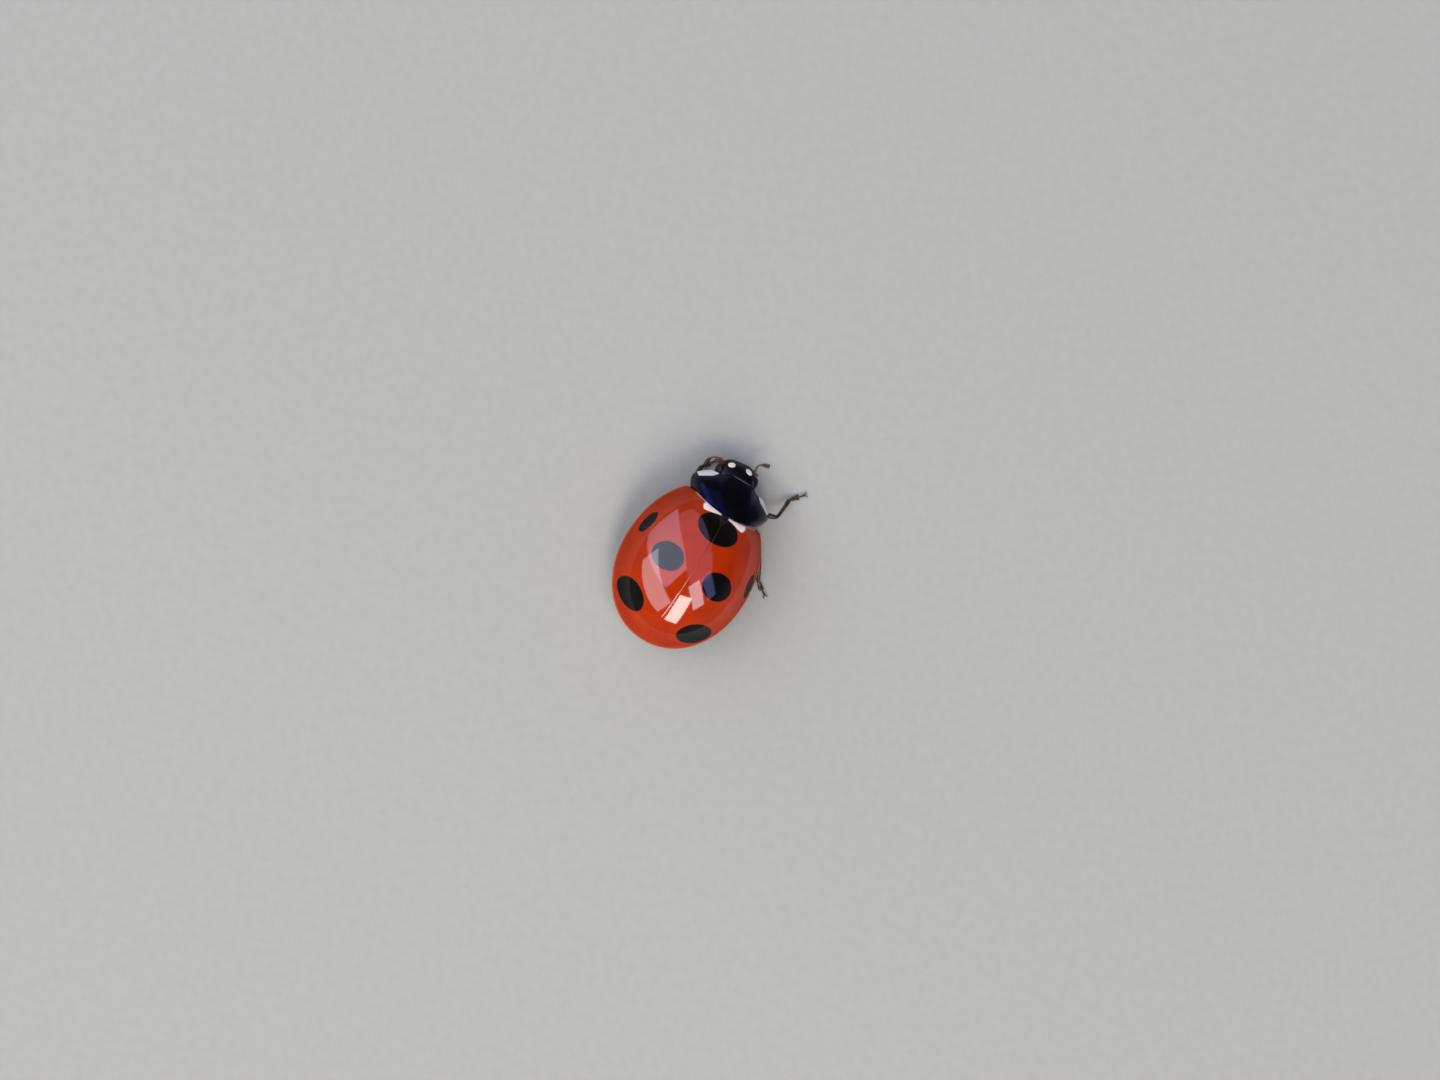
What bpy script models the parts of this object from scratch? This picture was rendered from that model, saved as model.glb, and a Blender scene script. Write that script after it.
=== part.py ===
"""Seven-spot ladybird, life size, standing: closed solids for every named part of the body.

The head looks along -Y, the animal's left side is +X and the feet stand on z = 0.
All sizes below are millimetres; the mesh builders turn them into metres.
"""
import math

import bmesh
import bpy
from mathutils import Matrix, Vector

MM = 0.001

# Elytra: a dome over a rounded plan, wider than it is high
HALF_WIDTH = 2.60
FRONT_REACH = 3.35
REAR_REACH = 3.15
DOME_HEIGHT = 2.15
PLAN_POWER = 2.08
RISE_POWER = 2.10
MARGIN_HEIGHT = 1.05
SHELL = 0.50
BASE_Y = -2.32
BASE_CURVE = 0.13
SHOULDER_START = 1.35
SHOULDER_ROUND = 1.2
ELYTRON_COLUMNS = 16
ELYTRON_ROWS = 20
# Rounds that settle where a cross line of the elytron meets the margin
EDGE_ROUNDS = 30

# Clearances between neighbouring pieces
SUTURE_HALF_GAP = 0.02
PLATE_GAP = 0.04
JOINT_GAP = 0.05

# Scutellum, in its notch between the elytra
SCUTELLUM_HALF = 0.25
SCUTELLUM_LENGTH = 0.40
SCUTELLUM_DEPTH = 0.48
SCUTELLUM_TIP_HALF = 0.03
SCUTELLUM_COLUMNS = 4
SCUTELLUM_ROWS = 3
NOTCH_HALF = 0.29
NOTCH_DEPTH = 0.45

# Trunk under the elytra
BELLY_DROP = 0.17
BELLY_DROP_SPARE = 0.35
THORAX_FRONT = -2.24
THORAX_REAR = 0.06
ABDOMEN_REAR = 2.56
TRUNK_SIDES = 28
THORAX_STEPS = 8
ABDOMEN_STEPS = 10

# Pronotum and prothorax, turned a little to the animal's left
FORE_PIVOT_Y = -2.36
FORE_YAW = math.radians(2.5)
PRONOTUM_HIND_CURVE = 0.155
PRONOTUM_FRONT_Y = -3.66
PRONOTUM_FRONT_BULGE = 0.20
PRONOTUM_BULGE_INNER = 0.42
PRONOTUM_BULGE_OUTER = 0.82
PRONOTUM_HIND_HALF = 1.50
PRONOTUM_HALF_GAIN = 0.918
PRONOTUM_HALF_LOSS = 1.238
PRONOTUM_CROWN = 2.58
PRONOTUM_CROWN_SLOPE = 0.30
PRONOTUM_CROWN_CURVE = 0.43
PRONOTUM_SIDE_HEIGHT = 1.15
PRONOTUM_HIND_THICKNESS = 0.42
PRONOTUM_FRONT_THICKNESS = 0.24
PRONOTUM_PLAN = 2.3
PRONOTUM_RISE = 0.6
PRONOTUM_COLUMNS = 22
PRONOTUM_ROWS = 8
PROSTERNUM_HEIGHT = 0.90
PROTHORAX_STATIONS = ((-2.46, 0.55), (-2.64, 0.92), (-2.90, 1.10), (-3.14, 1.02))

# Head, turned further to the left than the pronotum
HEAD_PIVOT = (0.14, -3.27)
HEAD_YAW = math.radians(10.0)
HEAD_SIDES = 20
HEAD_POWER = 2.4
# Each station: forward, half width, underside height, top height
HEAD_STATIONS = (
    (0.00, 0.56, 0.86, 1.44),
    (0.22, 0.74, 0.74, 1.52),
    (0.48, 0.83, 0.68, 1.57),
    (0.72, 0.84, 0.67, 1.56),
    (0.94, 0.75, 0.70, 1.47),
    (1.10, 0.60, 0.77, 1.32),
    (1.19, 0.42, 0.86, 1.18),
)
EYE_CENTRE = (0.68, 0.62, 1.20)
EYE_SIZE = (0.19, 0.25, 0.27)
EYE_SEGMENTS = 14
EYE_RINGS = 8

# Mouthparts and feelers, in the head's own directions: (to its left, forward, height)
LABRUM_POINTS = ((-0.22, 1.10, 0.61), (0.22, 1.10, 0.61))
LABRUM_RADIUS = 0.14
MANDIBLE_POINTS = ((0.42, 0.80, 0.52), (0.15, 1.04, 0.38))
MANDIBLE_RADIUS = 0.13
PALP_POINTS = ((0.52, 0.62, 0.48), (0.74, 1.02, 0.48))
PALP_RADIUS = 0.16
# Each ring of a rounded rod: share of its length, share of its radius
ROD_RINGS = ((0.0, 0.55), (0.18, 0.92), (0.5, 1.0), (0.82, 0.92), (1.0, 0.55))
LIMB_SIDES = 8
ANTENNA_RADII = (0.17, 0.21, 0.23, 0.24, 0.25, 0.25, 0.24, 0.16)
ANTENNA_ROUTES = {
    "right": ((-0.66, 1.13, 0.96), (-0.62, 1.34, 0.88), (-0.82, 1.48, 0.81), (-1.10, 1.50, 0.78)),
    "left": ((0.84, 1.04, 0.96), (1.04, 1.02, 0.90), (1.19, 0.86, 0.86), (1.21, 0.60, 0.84)),
}

# Legs: root and end of the coxa, knee, ankle and toe, in the model's own axes.
# A foot sinks below the floor by its radius and is cut flat there.
FEMUR_RADIUS = 0.27
TIBIA_RADIUS = 0.235
TARSUS_RADIUS = 0.23
COXA_RADIUS = 0.25
COXA_ROOT_RADIUS = 0.15
KNEE_RADIUS = 0.22
TOE_RADIUS = 0.17
ANKLE_HEIGHT = 0.25
FOOT_HEIGHT = 0.15
LEG_ROUTES = {
    "fore_right": ((-0.26, -2.84, 0.61), (-0.62, -2.95, 0.61), (-1.95, -3.50, 0.76),
                   (-2.08, -4.34, ANKLE_HEIGHT), (-2.58, -4.92, FOOT_HEIGHT)),
    "fore_left": ((0.30, -2.84, 0.61), (0.66, -2.92, 0.61), (1.50, -2.86, 0.66),
                  (1.44, -3.62, ANKLE_HEIGHT), (1.06, -4.14, FOOT_HEIGHT)),
    "mid_right": ((-0.42, -1.42, 0.59), (-0.98, -1.50, 0.59), (-2.15, -1.98, 0.66),
                  (-2.70, -1.14, ANKLE_HEIGHT), (-3.34, -0.74, FOOT_HEIGHT)),
    "mid_left": ((0.42, -1.42, 0.59), (0.98, -1.50, 0.59), (2.00, -1.86, 0.66),
                 (2.10, -0.94, ANKLE_HEIGHT), (2.14, -0.18, FOOT_HEIGHT)),
    "hind_right": ((-0.34, -0.42, 0.59), (-0.95, -0.30, 0.59), (-1.84, 0.52, 0.66),
                   (-1.88, 1.50, ANKLE_HEIGHT), (-1.66, 2.20, FOOT_HEIGHT)),
    "hind_left": ((0.34, -0.42, 0.59), (0.95, -0.30, 0.59), (1.78, 0.40, 0.66),
                  (1.82, 1.36, ANKLE_HEIGHT), (1.58, 2.02, FOOT_HEIGHT)),
}

# Colours as linear red, green, blue, with roughness
FINISHES = {
    "elytron_red": ((0.53, 0.036, 0.001), 0.22),
    "pronotum_black": ((0.004, 0.004, 0.005), 0.24),
    "head_black": ((0.005, 0.004, 0.005), 0.30),
    "body_black": ((0.008, 0.006, 0.005), 0.38),
    "leg_black": ((0.010, 0.007, 0.006), 0.40),
    "feeler_brown": ((0.13, 0.045, 0.018), 0.42),
    "eye_black": ((0.006, 0.006, 0.007), 0.18),
}


def signed_power(value, power):
    return math.copysign(abs(value) ** power, value)


def lerp(start, end, share):
    return start + (end - start) * share


def smooth_step(low, high, value):
    share = min(1.0, max(0.0, (value - low) / (high - low)))
    return share * share * (3.0 - 2.0 * share)


def side_of(name):
    return 1.0 if name.endswith("left") else -1.0


def clear_scene():
    for old in list(bpy.data.objects):
        bpy.data.objects.remove(old, do_unlink=True)


def finish_material(name):
    material = bpy.data.materials.get(name)
    if material:
        return material
    colour, roughness = FINISHES[name]
    material = bpy.data.materials.new(name)
    material.use_nodes = True
    shader = material.node_tree.nodes["Principled BSDF"]
    shader.inputs["Base Color"].default_value = (*colour, 1.0)
    shader.inputs["Roughness"].default_value = roughness
    shader.inputs["Metallic"].default_value = 0.0
    material.diffuse_color = (*colour, 1.0)
    return material


def add_object(name, bm, finish, body, crease=40.0):
    """Turn a closed bmesh in metres into a named object that hangs on the body's empty."""
    bmesh.ops.remove_doubles(bm, verts=bm.verts, dist=1e-7)
    bmesh.ops.recalc_face_normals(bm, faces=bm.faces)
    mesh = bpy.data.meshes.new(name)
    bm.to_mesh(mesh)
    bm.free()
    mesh.shade_smooth()
    mesh.set_sharp_from_angle(angle=math.radians(crease))
    mesh.materials.append(finish_material(finish))
    piece = bpy.data.objects.new(name, mesh)
    bpy.context.scene.collection.objects.link(piece)
    piece.parent = body
    return piece


def add_strip(bm, first, second, closed):
    count = len(first) if closed else len(first) - 1
    for i in range(count):
        j = (i + 1) % len(first)
        corners = (first[i], first[j], second[j], second[i])
        bm.faces.new(corners)


def loft(rings):
    """Closed tube through equal rings of points, with a flat cap at each end."""
    bm = bmesh.new()
    loops = [[bm.verts.new(Vector(point) * MM) for point in ring] for ring in rings]
    for first, second in zip(loops, loops[1:]):
        add_strip(bm, first, second, closed=True)
    bm.faces.new(reversed(loops[0]))
    bm.faces.new(loops[-1])
    return bm


def plate(outer, inner, columns, rows):
    """Closed plate between two surfaces, each a function of (column share, row share)."""
    bm = bmesh.new()
    sheets = []
    for surface in (outer, inner):
        grid = []
        for i in range(rows + 1):
            places = [surface(j / columns, i / rows) for j in range(columns + 1)]
            grid.append([bm.verts.new(Vector(place) * MM) for place in places])
        for first, second in zip(grid, grid[1:]):
            add_strip(bm, first, second, closed=False)
        sheets.append(grid)
    top, bottom = sheets
    edges = (
        (top[0], bottom[0]),
        (top[-1], bottom[-1]),
        ([row[0] for row in top], [row[0] for row in bottom]),
        ([row[-1] for row in top], [row[-1] for row in bottom]),
    )
    for first, second in edges:
        add_strip(bm, first, second, closed=False)
    return bm


def plan_share(y, inset=0.0):
    """What the plan outline leaves for the width at y, from 1 in the middle to 0 at the end."""
    reach = (FRONT_REACH if y < 0.0 else REAR_REACH) - inset
    return max(0.0, 1.0 - (abs(y) / reach) ** PLAN_POWER)


def plan_half_width(y, inset=0.0):
    return (HALF_WIDTH - inset) * plan_share(y, inset) ** (1.0 / PLAN_POWER)


def dome(x, y, inset=0.0):
    """Height above the floor of the elytra's surface, or of the same dome shrunk by inset."""
    left = plan_share(y, inset) - (abs(x) / (HALF_WIDTH - inset)) ** PLAN_POWER
    return MARGIN_HEIGHT + (DOME_HEIGHT - inset) * max(0.0, left) ** (1.0 / RISE_POWER)


def base_line(x):
    """Front edge of an elytron, with its half of the scutellum's notch."""
    notch = max(0.0, 1.0 - (x - SUTURE_HALF_GAP) / (NOTCH_HALF - SUTURE_HALF_GAP))
    shoulder = SHOULDER_ROUND * max(0.0, x - SHOULDER_START) ** 2
    return BASE_Y - BASE_CURVE * x * x + NOTCH_DEPTH * notch + shoulder


def elytron_point(column, row, inset):
    """Point of an elytron's surface from suture to margin and from base to tip."""
    start = SUTURE_HALF_GAP
    rear = REAR_REACH - inset
    along = math.sin(row * math.pi / 2.0)
    edge = start
    for _ in range(EDGE_ROUNDS):
        edge = max(start, plan_half_width(lerp(base_line(edge), rear, along), inset))
    x = lerp(start, edge, math.sin(column * math.pi / 2.0))
    y = lerp(base_line(x), rear, along)
    on_margin = column == 1.0 or row == 1.0
    z = MARGIN_HEIGHT if on_margin else dome(x, y, inset)
    return x, y, z


def build_elytra(body):
    for name in ("elytron_left", "elytron_right"):
        side = side_of(name)

        def outer(column, row, side=side):
            x, y, z = elytron_point(column, row, 0.0)
            return side * x, y, z

        def inner(column, row, side=side):
            x, y, z = elytron_point(column, row, SHELL)
            return side * x, y, z

        bm = plate(outer, inner, ELYTRON_COLUMNS, ELYTRON_ROWS)
        add_object(name, bm, "elytron_red", body)


def build_scutellum(body):
    def surface(column, row, depth):
        half = lerp(SCUTELLUM_HALF, SCUTELLUM_TIP_HALF, row)
        x = lerp(-half, half, column)
        y = BASE_Y + SCUTELLUM_LENGTH * row
        return x, y, dome(x, y) - depth

    bm = plate(
        lambda column, row: surface(column, row, 0.0),
        lambda column, row: surface(column, row, SCUTELLUM_DEPTH),
        SCUTELLUM_COLUMNS, SCUTELLUM_ROWS,
    )
    add_object("scutellum", bm, "body_black", body)


def trunk_ring(y):
    """Cross-section that fits under the elytra, with a gently convex belly."""
    inset = SHELL + PLATE_GAP
    half = plan_half_width(y, inset)
    crown = dome(0.0, y, inset) - MARGIN_HEIGHT
    ring = []
    for k in range(TRUNK_SIDES):
        angle = 2.0 * math.pi * k / TRUNK_SIDES
        across, up = math.cos(angle), math.sin(angle)
        x = half * signed_power(across, 2.0 / PLAN_POWER)
        drop = BELLY_DROP * min(1.0, half / HALF_WIDTH + BELLY_DROP_SPARE)
        rise = crown * up ** (2.0 / RISE_POWER) if up > 0.0 else -drop * abs(up)
        ring.append((x, y, MARGIN_HEIGHT + rise))
    return ring


def build_trunk(body):
    spans = (
        ("thorax", THORAX_FRONT, THORAX_REAR, THORAX_STEPS),
        ("abdomen", THORAX_REAR + PLATE_GAP, ABDOMEN_REAR, ABDOMEN_STEPS),
    )
    for name, front, rear, steps in spans:
        shares = [math.sin(0.5 * math.pi * i / steps) for i in range(steps + 1)]
        if name == "thorax":
            shares = [1.0 - share for share in reversed(shares)]
        rings = [trunk_ring(lerp(front, rear, share)) for share in shares]
        add_object(name, loft(rings), "body_black", body)


def pronotum_half(row):
    """Half width of the pronotum from its hind edge to its front edge."""
    return PRONOTUM_HIND_HALF + PRONOTUM_HALF_GAIN * row - PRONOTUM_HALF_LOSS * row * row


def pronotum_crown(row):
    return PRONOTUM_CROWN - PRONOTUM_CROWN_SLOPE * row - PRONOTUM_CROWN_CURVE * row * row


def pronotum_thickness(row):
    return lerp(PRONOTUM_HIND_THICKNESS, PRONOTUM_FRONT_THICKNESS, row)


def pronotum_point(column, row, inset):
    across = math.sin(lerp(-0.5, 0.5, column) * math.pi)
    x = across * (pronotum_half(row) - inset)
    hind = FORE_PIVOT_Y - PRONOTUM_HIND_CURVE * x * x
    bulge = 1.0 - smooth_step(PRONOTUM_BULGE_INNER, PRONOTUM_BULGE_OUTER, abs(x))
    front = PRONOTUM_FRONT_Y - PRONOTUM_FRONT_BULGE * bulge
    rise = max(0.0, 1.0 - abs(across) ** PRONOTUM_PLAN) ** PRONOTUM_RISE
    z = lerp(PRONOTUM_SIDE_HEIGHT, pronotum_crown(row) - inset, rise)
    return x, lerp(hind, front, row) - FORE_PIVOT_Y, z


def build_fore_body(body):
    bm = plate(
        lambda column, row: pronotum_point(column, row, 0.0),
        lambda column, row: pronotum_point(column, row, pronotum_thickness(row)),
        PRONOTUM_COLUMNS, PRONOTUM_ROWS,
    )
    pronotum = add_object("pronotum", bm, "pronotum_black", body)
    rings = []
    for y, half in PROTHORAX_STATIONS:
        row = (y - FORE_PIVOT_Y) / (PRONOTUM_FRONT_Y - PRONOTUM_FRONT_BULGE - FORE_PIVOT_Y)
        crown = pronotum_crown(row) - pronotum_thickness(row) - PLATE_GAP
        ring = []
        for k in range(HEAD_SIDES):
            angle = 2.0 * math.pi * k / HEAD_SIDES
            across, up = math.cos(angle), math.sin(angle)
            x = half * signed_power(across, 2.0 / PRONOTUM_PLAN)
            reach = crown - PRONOTUM_SIDE_HEIGHT if up > 0.0 else PRONOTUM_SIDE_HEIGHT - PROSTERNUM_HEIGHT
            z = PRONOTUM_SIDE_HEIGHT + reach * signed_power(up, 2.0 * PRONOTUM_RISE)
            ring.append((x, y - FORE_PIVOT_Y, z))
        rings.append(ring)
    prothorax = add_object("prothorax", loft(rings), "body_black", body)
    for piece in (pronotum, prothorax):
        piece.location = Vector((0.0, FORE_PIVOT_Y, 0.0)) * MM
        piece.rotation_euler.z = FORE_YAW


def head_ring(forward, half, low, high):
    ring = []
    for k in range(HEAD_SIDES):
        angle = 2.0 * math.pi * k / HEAD_SIDES
        x = half * signed_power(math.cos(angle), 2.0 / HEAD_POWER)
        z = (low + high) / 2.0 + (high - low) / 2.0 * signed_power(math.sin(angle), 2.0 / HEAD_POWER)
        ring.append((x, -forward, z))
    return ring


def ball(size, margin):
    bm = bmesh.new()
    bmesh.ops.create_uvsphere(bm, u_segments=EYE_SEGMENTS, v_segments=EYE_RINGS, radius=1.0)
    scale = Vector([(half + margin) * MM for half in size])
    bmesh.ops.scale(bm, vec=scale, verts=bm.verts)
    return bm


def build_head(body):
    head_origin = Vector((*HEAD_PIVOT, 0.0)) * MM
    head = add_object("head", loft([head_ring(*station) for station in HEAD_STATIONS]), "head_black", body)
    head.location = head_origin
    head.rotation_euler.z = HEAD_YAW
    turn = Matrix.Rotation(HEAD_YAW, 4, "Z")
    for name in ("eye_left", "eye_right"):
        x, forward, height = EYE_CENTRE
        place = turn @ (Vector((side_of(name) * x, -forward, height)) * MM) + head_origin
        eye = add_object(name, ball(EYE_SIZE, 0.0), "eye_black", body)
        socket = add_object(name + "_socket", ball(EYE_SIZE, PLATE_GAP), "head_black", body)
        for piece in (eye, socket):
            piece.location = place
            piece.rotation_euler.z = HEAD_YAW
        socket.hide_render = True
        socket.display_type = "WIRE"
        cut = head.modifiers.new(name + "_cut", "BOOLEAN")
        cut.operation = "DIFFERENCE"
        cut.solver = "EXACT"
        cut.object = socket
    return head_origin


def spokes():
    """Directions of a limb's corners, with a flat side down."""
    angles = [2.0 * math.pi * (k + 0.5) / LIMB_SIDES for k in range(LIMB_SIDES)]
    return [(math.cos(angle), math.sin(angle)) for angle in angles]


def rounded_rod(start, end, radius):
    """Straight rod with rounded ends between two points in millimetres."""
    start, end = Vector(start), Vector(end)
    axis = (end - start).normalized()
    side = axis.cross(Vector((0.0, 0.0, 1.0))).normalized()
    up = side.cross(axis)
    rings = []
    for share, width in ROD_RINGS:
        centre = start.lerp(end, share)
        rings.append([centre + (side * across + up * rise) * radius * width for across, rise in spokes()])
    return loft(rings)


def curved_feeler(route, radii):
    """Thick feeler along a smooth curve through the route's points."""
    points = [Vector(point) for point in route]
    steps = len(radii) - 1
    centres = []
    for i in range(steps + 1):
        place = i / steps * (len(points) - 1)
        k = min(int(place), len(points) - 2)
        share = place - k
        before, after = points[max(k - 1, 0)], points[min(k + 2, len(points) - 1)]
        a, b = points[k], points[k + 1]
        pull_a, pull_b = (b - before) / 2.0, (after - a) / 2.0
        s2, s3 = share ** 2, share ** 3
        centre = a * (2 * s3 - 3 * s2 + 1) + pull_a * (s3 - 2 * s2 + share)
        centres.append(centre + b * (3 * s2 - 2 * s3) + pull_b * (s3 - s2))
    rings = []
    for i, (centre, radius) in enumerate(zip(centres, radii)):
        axis = (centres[min(i + 1, steps)] - centres[max(i - 1, 0)]).normalized()
        side = axis.cross(Vector((0.0, 0.0, 1.0))).normalized()
        up = side.cross(axis)
        rings.append([centre + (side * across + up * rise) * radius for across, rise in spokes()])
    return loft(rings)


def build_mouth_and_feelers(body, head_origin):
    pieces = [("labrum", rounded_rod(to_head(LABRUM_POINTS[0]), to_head(LABRUM_POINTS[1]), LABRUM_RADIUS))]
    for side_name, side in (("left", 1.0), ("right", -1.0)):
        rods = (
            ("mandible_" + side_name, MANDIBLE_POINTS, MANDIBLE_RADIUS),
            ("palp_" + side_name, PALP_POINTS, PALP_RADIUS),
        )
        for name, points, radius in rods:
            ends = [to_head((side * x, forward, height)) for x, forward, height in points]
            pieces.append((name, rounded_rod(ends[0], ends[1], radius)))
        route = [to_head(point) for point in ANTENNA_ROUTES[side_name]]
        pieces.append(("antenna_" + side_name, curved_feeler(route, ANTENNA_RADII)))
    for name, bm in pieces:
        finish = "feeler_brown" if name[:4] in ("ante", "palp") else "head_black"
        piece = add_object(name, bm, finish, body)
        piece.location = head_origin
        piece.rotation_euler.z = HEAD_YAW


def to_head(point):
    x, forward, height = point
    return x, -forward, height


def leg_segment(route, index, radii):
    """One length of a leg, cut at each joint on the plane that halves the bend."""
    start, end = route[index], route[index + 1]
    axis = (end - start).normalized()
    side = axis.cross(Vector((0.0, 0.0, 1.0))).normalized()
    up = side.cross(axis)

    def joint_normal(i):
        if 0 < i < len(route) - 1:
            before = (route[i] - route[i - 1]).normalized()
            after = (route[i + 1] - route[i]).normalized()
            return (before + after).normalized()
        return axis

    def slide_to_joint(point, joint, normal, gap):
        return point + axis * ((gap - (point - joint).dot(normal)) / axis.dot(normal))

    start_gap = JOINT_GAP / 2.0 if index > 0 else 0.0
    end_gap = -JOINT_GAP / 2.0 if index < len(route) - 2 else 0.0
    shares = [i / (len(radii) - 1) for i in range(len(radii))]
    rings = [[] for _ in shares]
    for across, rise in spokes():
        spoke = side * across + up * rise
        first = slide_to_joint(start + spoke * radii[0], start, joint_normal(index), start_gap)
        last = slide_to_joint(end + spoke * radii[-1], end, joint_normal(index + 1), end_gap)
        for ring, share, radius in zip(rings, shares, radii):
            swell = radius - lerp(radii[0], radii[-1], share)
            point = first.lerp(last, share) + spoke * swell
            ring.append((point.x, point.y, max(0.0, point.z)))
    return loft(rings)


def build_legs(body):
    profiles = {
        "coxa": (COXA_ROOT_RADIUS, COXA_RADIUS, COXA_RADIUS, KNEE_RADIUS),
        "femur": (KNEE_RADIUS, FEMUR_RADIUS, FEMUR_RADIUS, FEMUR_RADIUS, KNEE_RADIUS),
        "tibia": (KNEE_RADIUS, TIBIA_RADIUS, TIBIA_RADIUS, KNEE_RADIUS),
        "tarsus": (KNEE_RADIUS, TARSUS_RADIUS, TARSUS_RADIUS, TARSUS_RADIUS, TOE_RADIUS),
    }
    for leg, points in LEG_ROUTES.items():
        pair, side_name = leg.split("_")
        route = [Vector(point) for point in points]
        for index, (part, radii) in enumerate(profiles.items()):
            bm = leg_segment(route, index, radii)
            add_object(f"{pair}_{part}_{side_name}", bm, "leg_black", body)


def centre_on_floor(body):
    """Move the whole animal so that the middle of its footprint box is the origin."""
    bpy.context.view_layer.update()
    corners = []
    for piece in body.children:
        if not piece.hide_render:
            corners += [piece.matrix_world @ vertex.co for vertex in piece.data.vertices]
    for axis in range(2):
        values = [corner[axis] for corner in corners]
        body.location[axis] = -(min(values) + max(values)) / 2.0


def main():
    clear_scene()
    body = bpy.data.objects.new("ladybird", None)
    bpy.context.scene.collection.objects.link(body)
    build_elytra(body)
    build_scutellum(body)
    build_trunk(body)
    build_fore_body(body)
    head_origin = build_head(body)
    build_mouth_and_feelers(body, head_origin)
    build_legs(body)
    centre_on_floor(body)


main()
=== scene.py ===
import random
from math import copysign, cos, exp, hypot, pi, radians, sin

import bmesh
import bpy
from mathutils import Matrix, Vector


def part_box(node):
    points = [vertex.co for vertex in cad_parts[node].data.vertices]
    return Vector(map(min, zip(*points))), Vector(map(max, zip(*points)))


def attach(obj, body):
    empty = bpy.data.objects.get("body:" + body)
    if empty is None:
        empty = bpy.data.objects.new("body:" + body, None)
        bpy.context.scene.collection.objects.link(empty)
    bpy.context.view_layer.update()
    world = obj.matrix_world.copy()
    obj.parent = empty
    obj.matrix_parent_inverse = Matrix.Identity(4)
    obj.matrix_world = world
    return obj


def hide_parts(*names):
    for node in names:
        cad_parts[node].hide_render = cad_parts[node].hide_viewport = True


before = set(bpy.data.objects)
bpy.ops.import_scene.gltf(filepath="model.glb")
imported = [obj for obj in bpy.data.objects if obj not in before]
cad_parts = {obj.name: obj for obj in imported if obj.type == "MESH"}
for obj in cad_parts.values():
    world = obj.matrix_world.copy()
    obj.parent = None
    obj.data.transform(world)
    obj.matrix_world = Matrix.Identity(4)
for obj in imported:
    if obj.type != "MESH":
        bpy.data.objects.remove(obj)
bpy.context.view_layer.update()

mm = 0.001
scene = bpy.context.scene
upright = Vector((0, 0, 1))

# The outline that the wing cases share with the solids, in millimetres. The head looks along -Y,
# the animal's left is +X, and the origin lies under the middle of the dome.
shell = dict(
    halfWidth=2.6, frontReach=3.35, rearReach=3.15, domeHeight=2.15,
    planPower=2.08, risePower=2.1, marginHeight=1.05,
    baseY=-2.32, baseCurve=0.13, shoulderStart=1.35, shoulderRound=1.2,
    hemFrom=-1.6, hemTo=2.6,
)

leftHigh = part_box("elytron_left")[1]
bodyPlace = Matrix.Translation((leftHigh.x - shell["halfWidth"] * mm,
                                leftHigh.y - shell["rearReach"] * mm, 0))


# small helpers

def lerp(start, end, share):
    return start + (end - start) * share


def smoothStep(low, high, value):
    share = min(1, max(0, (value - low) / (high - low)))
    return share * share * (3 - 2 * share)


def signedPower(value, power):
    return copysign(abs(value) ** power, value)


def bell(distance, width):
    return exp(-(distance / width) ** 2)


def curveValue(keys, share):
    # smooth curve through (share, value) keys
    share = min(max(share, keys[0][0]), keys[-1][0])
    i = next(i for i, key in enumerate(keys[1:]) if share <= key[0])
    (x0, y0), (x1, y1) = keys[i:i + 2]
    before, after = keys[max(i - 1, 0)], keys[min(i + 2, len(keys) - 1)]
    slope0 = (y1 - before[1]) / (x1 - before[0]) * (x1 - x0)
    slope1 = (after[1] - y0) / (after[0] - x0) * (x1 - x0)
    t = (share - x0) / (x1 - x0)
    return (y0 * (2 * t ** 3 - 3 * t ** 2 + 1) + slope0 * (t ** 3 - 2 * t ** 2 + t)
            + y1 * (3 * t ** 2 - 2 * t ** 3) + slope1 * (t ** 3 - t ** 2))


def routePoint(route, share):
    last = len(route) - 1
    return Vector([curveValue([(i / last, point[axis]) for i, point in enumerate(route)], share)
                   for axis in range(3)])


def turnedPlace(x, y, degrees):
    # the body's place, turned about an upright axis through x and y
    turn = Matrix.Rotation(radians(degrees), 4, "Z")
    return bodyPlace @ Matrix.Translation((x * mm, y * mm, 0)) @ turn


def axesPlace(spot, right, up, back):
    # a place whose own three axes lie in these directions
    return Matrix.Translation(spot) @ Matrix((right, up, back)).transposed().to_4x4()


def addObject(name, data):
    added = bpy.data.objects.new(name, data)
    scene.collection.objects.link(added)
    return added


# material helpers

def linearColour(hexText):
    # sRGB hex to the linear colour that shaders read
    values = [int(hexText[i:i + 2], 16) / 255 for i in (1, 3, 5)]
    return tuple(v / 12.92 if v <= 0.04045 else ((v + 0.055) / 1.055) ** 2.4 for v in values) + (1,)


def perMm(size):
    # texture scale that gives one repeat in this many millimetres
    return 1 / (size * mm)


def addNode(tree, kind, settings=None, inputs=None):
    node = tree.nodes.new("ShaderNode" + kind)
    for name, value in (settings or {}).items():
        setattr(node, name, value)
    for key, value in (inputs or {}).items():
        if isinstance(value, bpy.types.NodeSocket):
            tree.links.new(value, node.inputs[key])
        else:
            node.inputs[key].default_value = value
    return node


def startMaterial(name, sockets):
    material = bpy.data.materials.new(name)
    material.use_nodes = True
    tree = material.node_tree
    shader = tree.nodes["Principled BSDF"]
    for socket, value in sockets.items():
        shader.inputs[socket].default_value = value
    return material, tree, shader, addNode(tree, "TexCoord").outputs["Object"]


def mottle(tree, place, colours, size=0.35, low=0.35, high=0.7):
    # slow change of pigment between two colours, in patches of this many millimetres
    noise = addNode(tree, "TexNoise", None, {"Vector": place, "Scale": perMm(size), "Detail": 4})
    share = addNode(tree, "MapRange", None, {0: noise.outputs["Fac"], "From Min": low, "From Max": high})
    return paintOver(tree, linearColour(colours[0]), [(share.outputs[0], colours[1])])


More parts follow.
